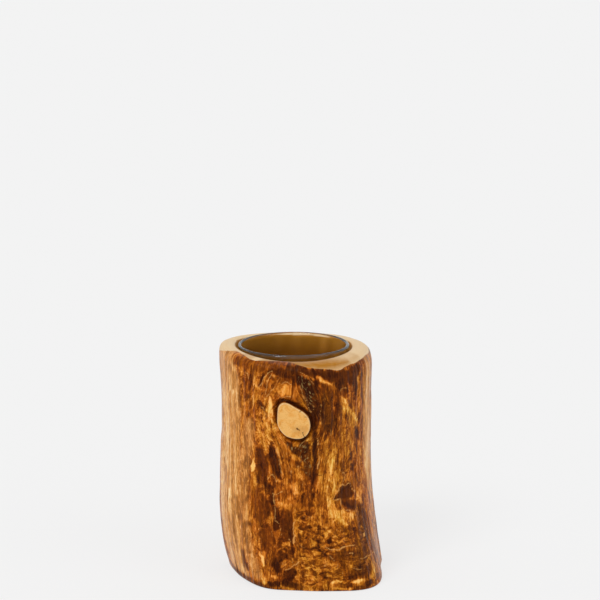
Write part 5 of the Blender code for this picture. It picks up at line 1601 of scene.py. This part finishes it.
class VASE_OT_glass_insert(bpy.types.Operator):
    """Build the glass cylinder that stands in the bore"""

    bl_idname = "vase.glass_insert"
    bl_label = "Glass insert"

    def execute(self, context):
        settings = context.scene.vase_glass
        outline = [(x, -z, 0.0) for x, z in glass_profile(settings)]
        values = {"Steps": settings.steps, "Weld": 1e-6, "Finish": glass_material(settings)}
        glass = modelled("vase_glass", outline, turned_tree(), values)
        glass.data.transform(Matrix.Translation((0.0, 0.0, GLASS_BOX[0].z)))
        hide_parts("glass_insert")
        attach(glass, "glass")
        return {"FINISHED"}


def add_camera(settings):
    data = bpy.data.cameras.new("view")
    data.lens = settings.lens
    camera = add_object("view", data)
    camera.location = settings.eye
    camera.rotation_euler = (math.pi / 2.0 - settings.tilt, 0.0, 0.0)
    bpy.context.scene.camera = camera


def add_lamp(name, strength, turn, height, spread):
    """A soft light from far away, with its turn to the right of the camera, height and spread in degrees."""
    data = bpy.data.lights.new(name, "SUN")
    data.energy = strength * math.pi
    data.angle = math.radians(spread)
    lamp = add_object(name, data)
    lamp.rotation_euler = (math.radians(90.0 - height), 0.0, math.radians(turn))


def sees_backdrop(t):
    """1 for what the camera, gloss and glass see, and 0 for the light that falls on things."""
    path = t.node("ShaderNodeLightPath").outputs
    seen = t.maths("MAXIMUM", path["Is Camera Ray"], path["Is Glossy Ray"])
    return t.maths("MAXIMUM", seen, path["Is Transmission Ray"])


def add_room(settings):
    """Light from all round, and a plain pale room for what the camera, gloss and glass see."""
    world = bpy.data.worlds.new("room")
    world.use_nodes = True
    bpy.context.scene.world = world
    t = Tree(world.node_tree)
    light = t.mix(sees_backdrop(t), (settings.fill,) * 3, settings.backdrop)
    t.fill(world.node_tree.nodes["Background"], {"Color": light, "Strength": 1.0})


def add_floor(settings):
    """A wide pale floor that the vase stands on, and that keeps a share of its shadow."""
    turns = [i * TAU / FLOOR_CORNERS for i in range(FLOOR_CORNERS)]
    points = [(FLOOR_RADIUS * math.cos(turn), FLOOR_RADIUS * math.sin(turn), 0.0) for turn in turns]
    material, t, shader = new_material("pale floor")
    values = {"Base Color": (*settings.floor, 1.0), "Roughness": 0.9, "Specular IOR Level": 0.0}
    t.fill(shader, values)
    glow = t.node("ShaderNodeEmission", {"Color": (*settings.backdrop, 1.0)}).outputs[0]
    share = t.scaled(sees_backdrop(t), 1.0 - settings.shadow)
    seen = t.node("ShaderNodeMixShader", {0: share, 1: shader.outputs[0], 2: glow}).outputs[0]
    t.fill(material.node_tree.nodes["Material Output"], {"Surface": seen})
    floor = add_mesh("floor", points, [tuple(range(FLOOR_CORNERS))], material)


class VASE_OT_stage(bpy.types.Operator):
    """Set up the floor, the soft lights and the camera"""

    bl_idname = "vase.stage"
    bl_label = "Stage"

    def execute(self, context):
        settings = context.scene.vase_stage
        add_camera(settings)
        add_room(settings)
        add_floor(settings)
        for name, strength_setting, *place in LAMPS:
            add_lamp(name, getattr(settings, strength_setting), *place)
        context.scene.view_settings.view_transform = "Standard"
        return {"FINISHED"}


class VASE_PT_pieces(bpy.types.Panel):
    """Lists the pieces of the vase and their sizes"""

    bl_label = "Olive wood vase"
    bl_space_type = "VIEW_3D"
    bl_region_type = "UI"
    bl_category = "Vase"

    def draw(self, context):
        for operator, settings in PIECES:
            box = self.layout.box()
            box.operator(operator)
            group = getattr(context.scene, settings)
            for name in group.bl_rna.properties.keys():
                if name not in ("rna_type", "name"):
                    box.prop(group, name)


PIECES = (("vase.wood_body", "vase_wood"), ("vase.glass_insert", "vase_glass"), ("vase.stage", "vase_stage"))
CLASSES = (
    WoodSettings,
    GlassSettings,
    StageSettings,
    VASE_OT_wood_body,
    VASE_OT_glass_insert,
    VASE_OT_stage,
    VASE_PT_pieces,
)


def register():
    for made in CLASSES:
        bpy.utils.register_class(made)
    bpy.types.Scene.vase_wood = PointerProperty(type=WoodSettings)
    bpy.types.Scene.vase_glass = PointerProperty(type=GlassSettings)
    bpy.types.Scene.vase_stage = PointerProperty(type=StageSettings)


def unregister():
    del bpy.types.Scene.vase_wood, bpy.types.Scene.vase_glass, bpy.types.Scene.vase_stage
    for made in reversed(CLASSES):
        bpy.utils.unregister_class(made)


def main():
    register()
    bpy.ops.vase.stage()
    bpy.ops.vase.wood_body()
    bpy.ops.vase.glass_insert()


if __name__ == "__main__":
    main()
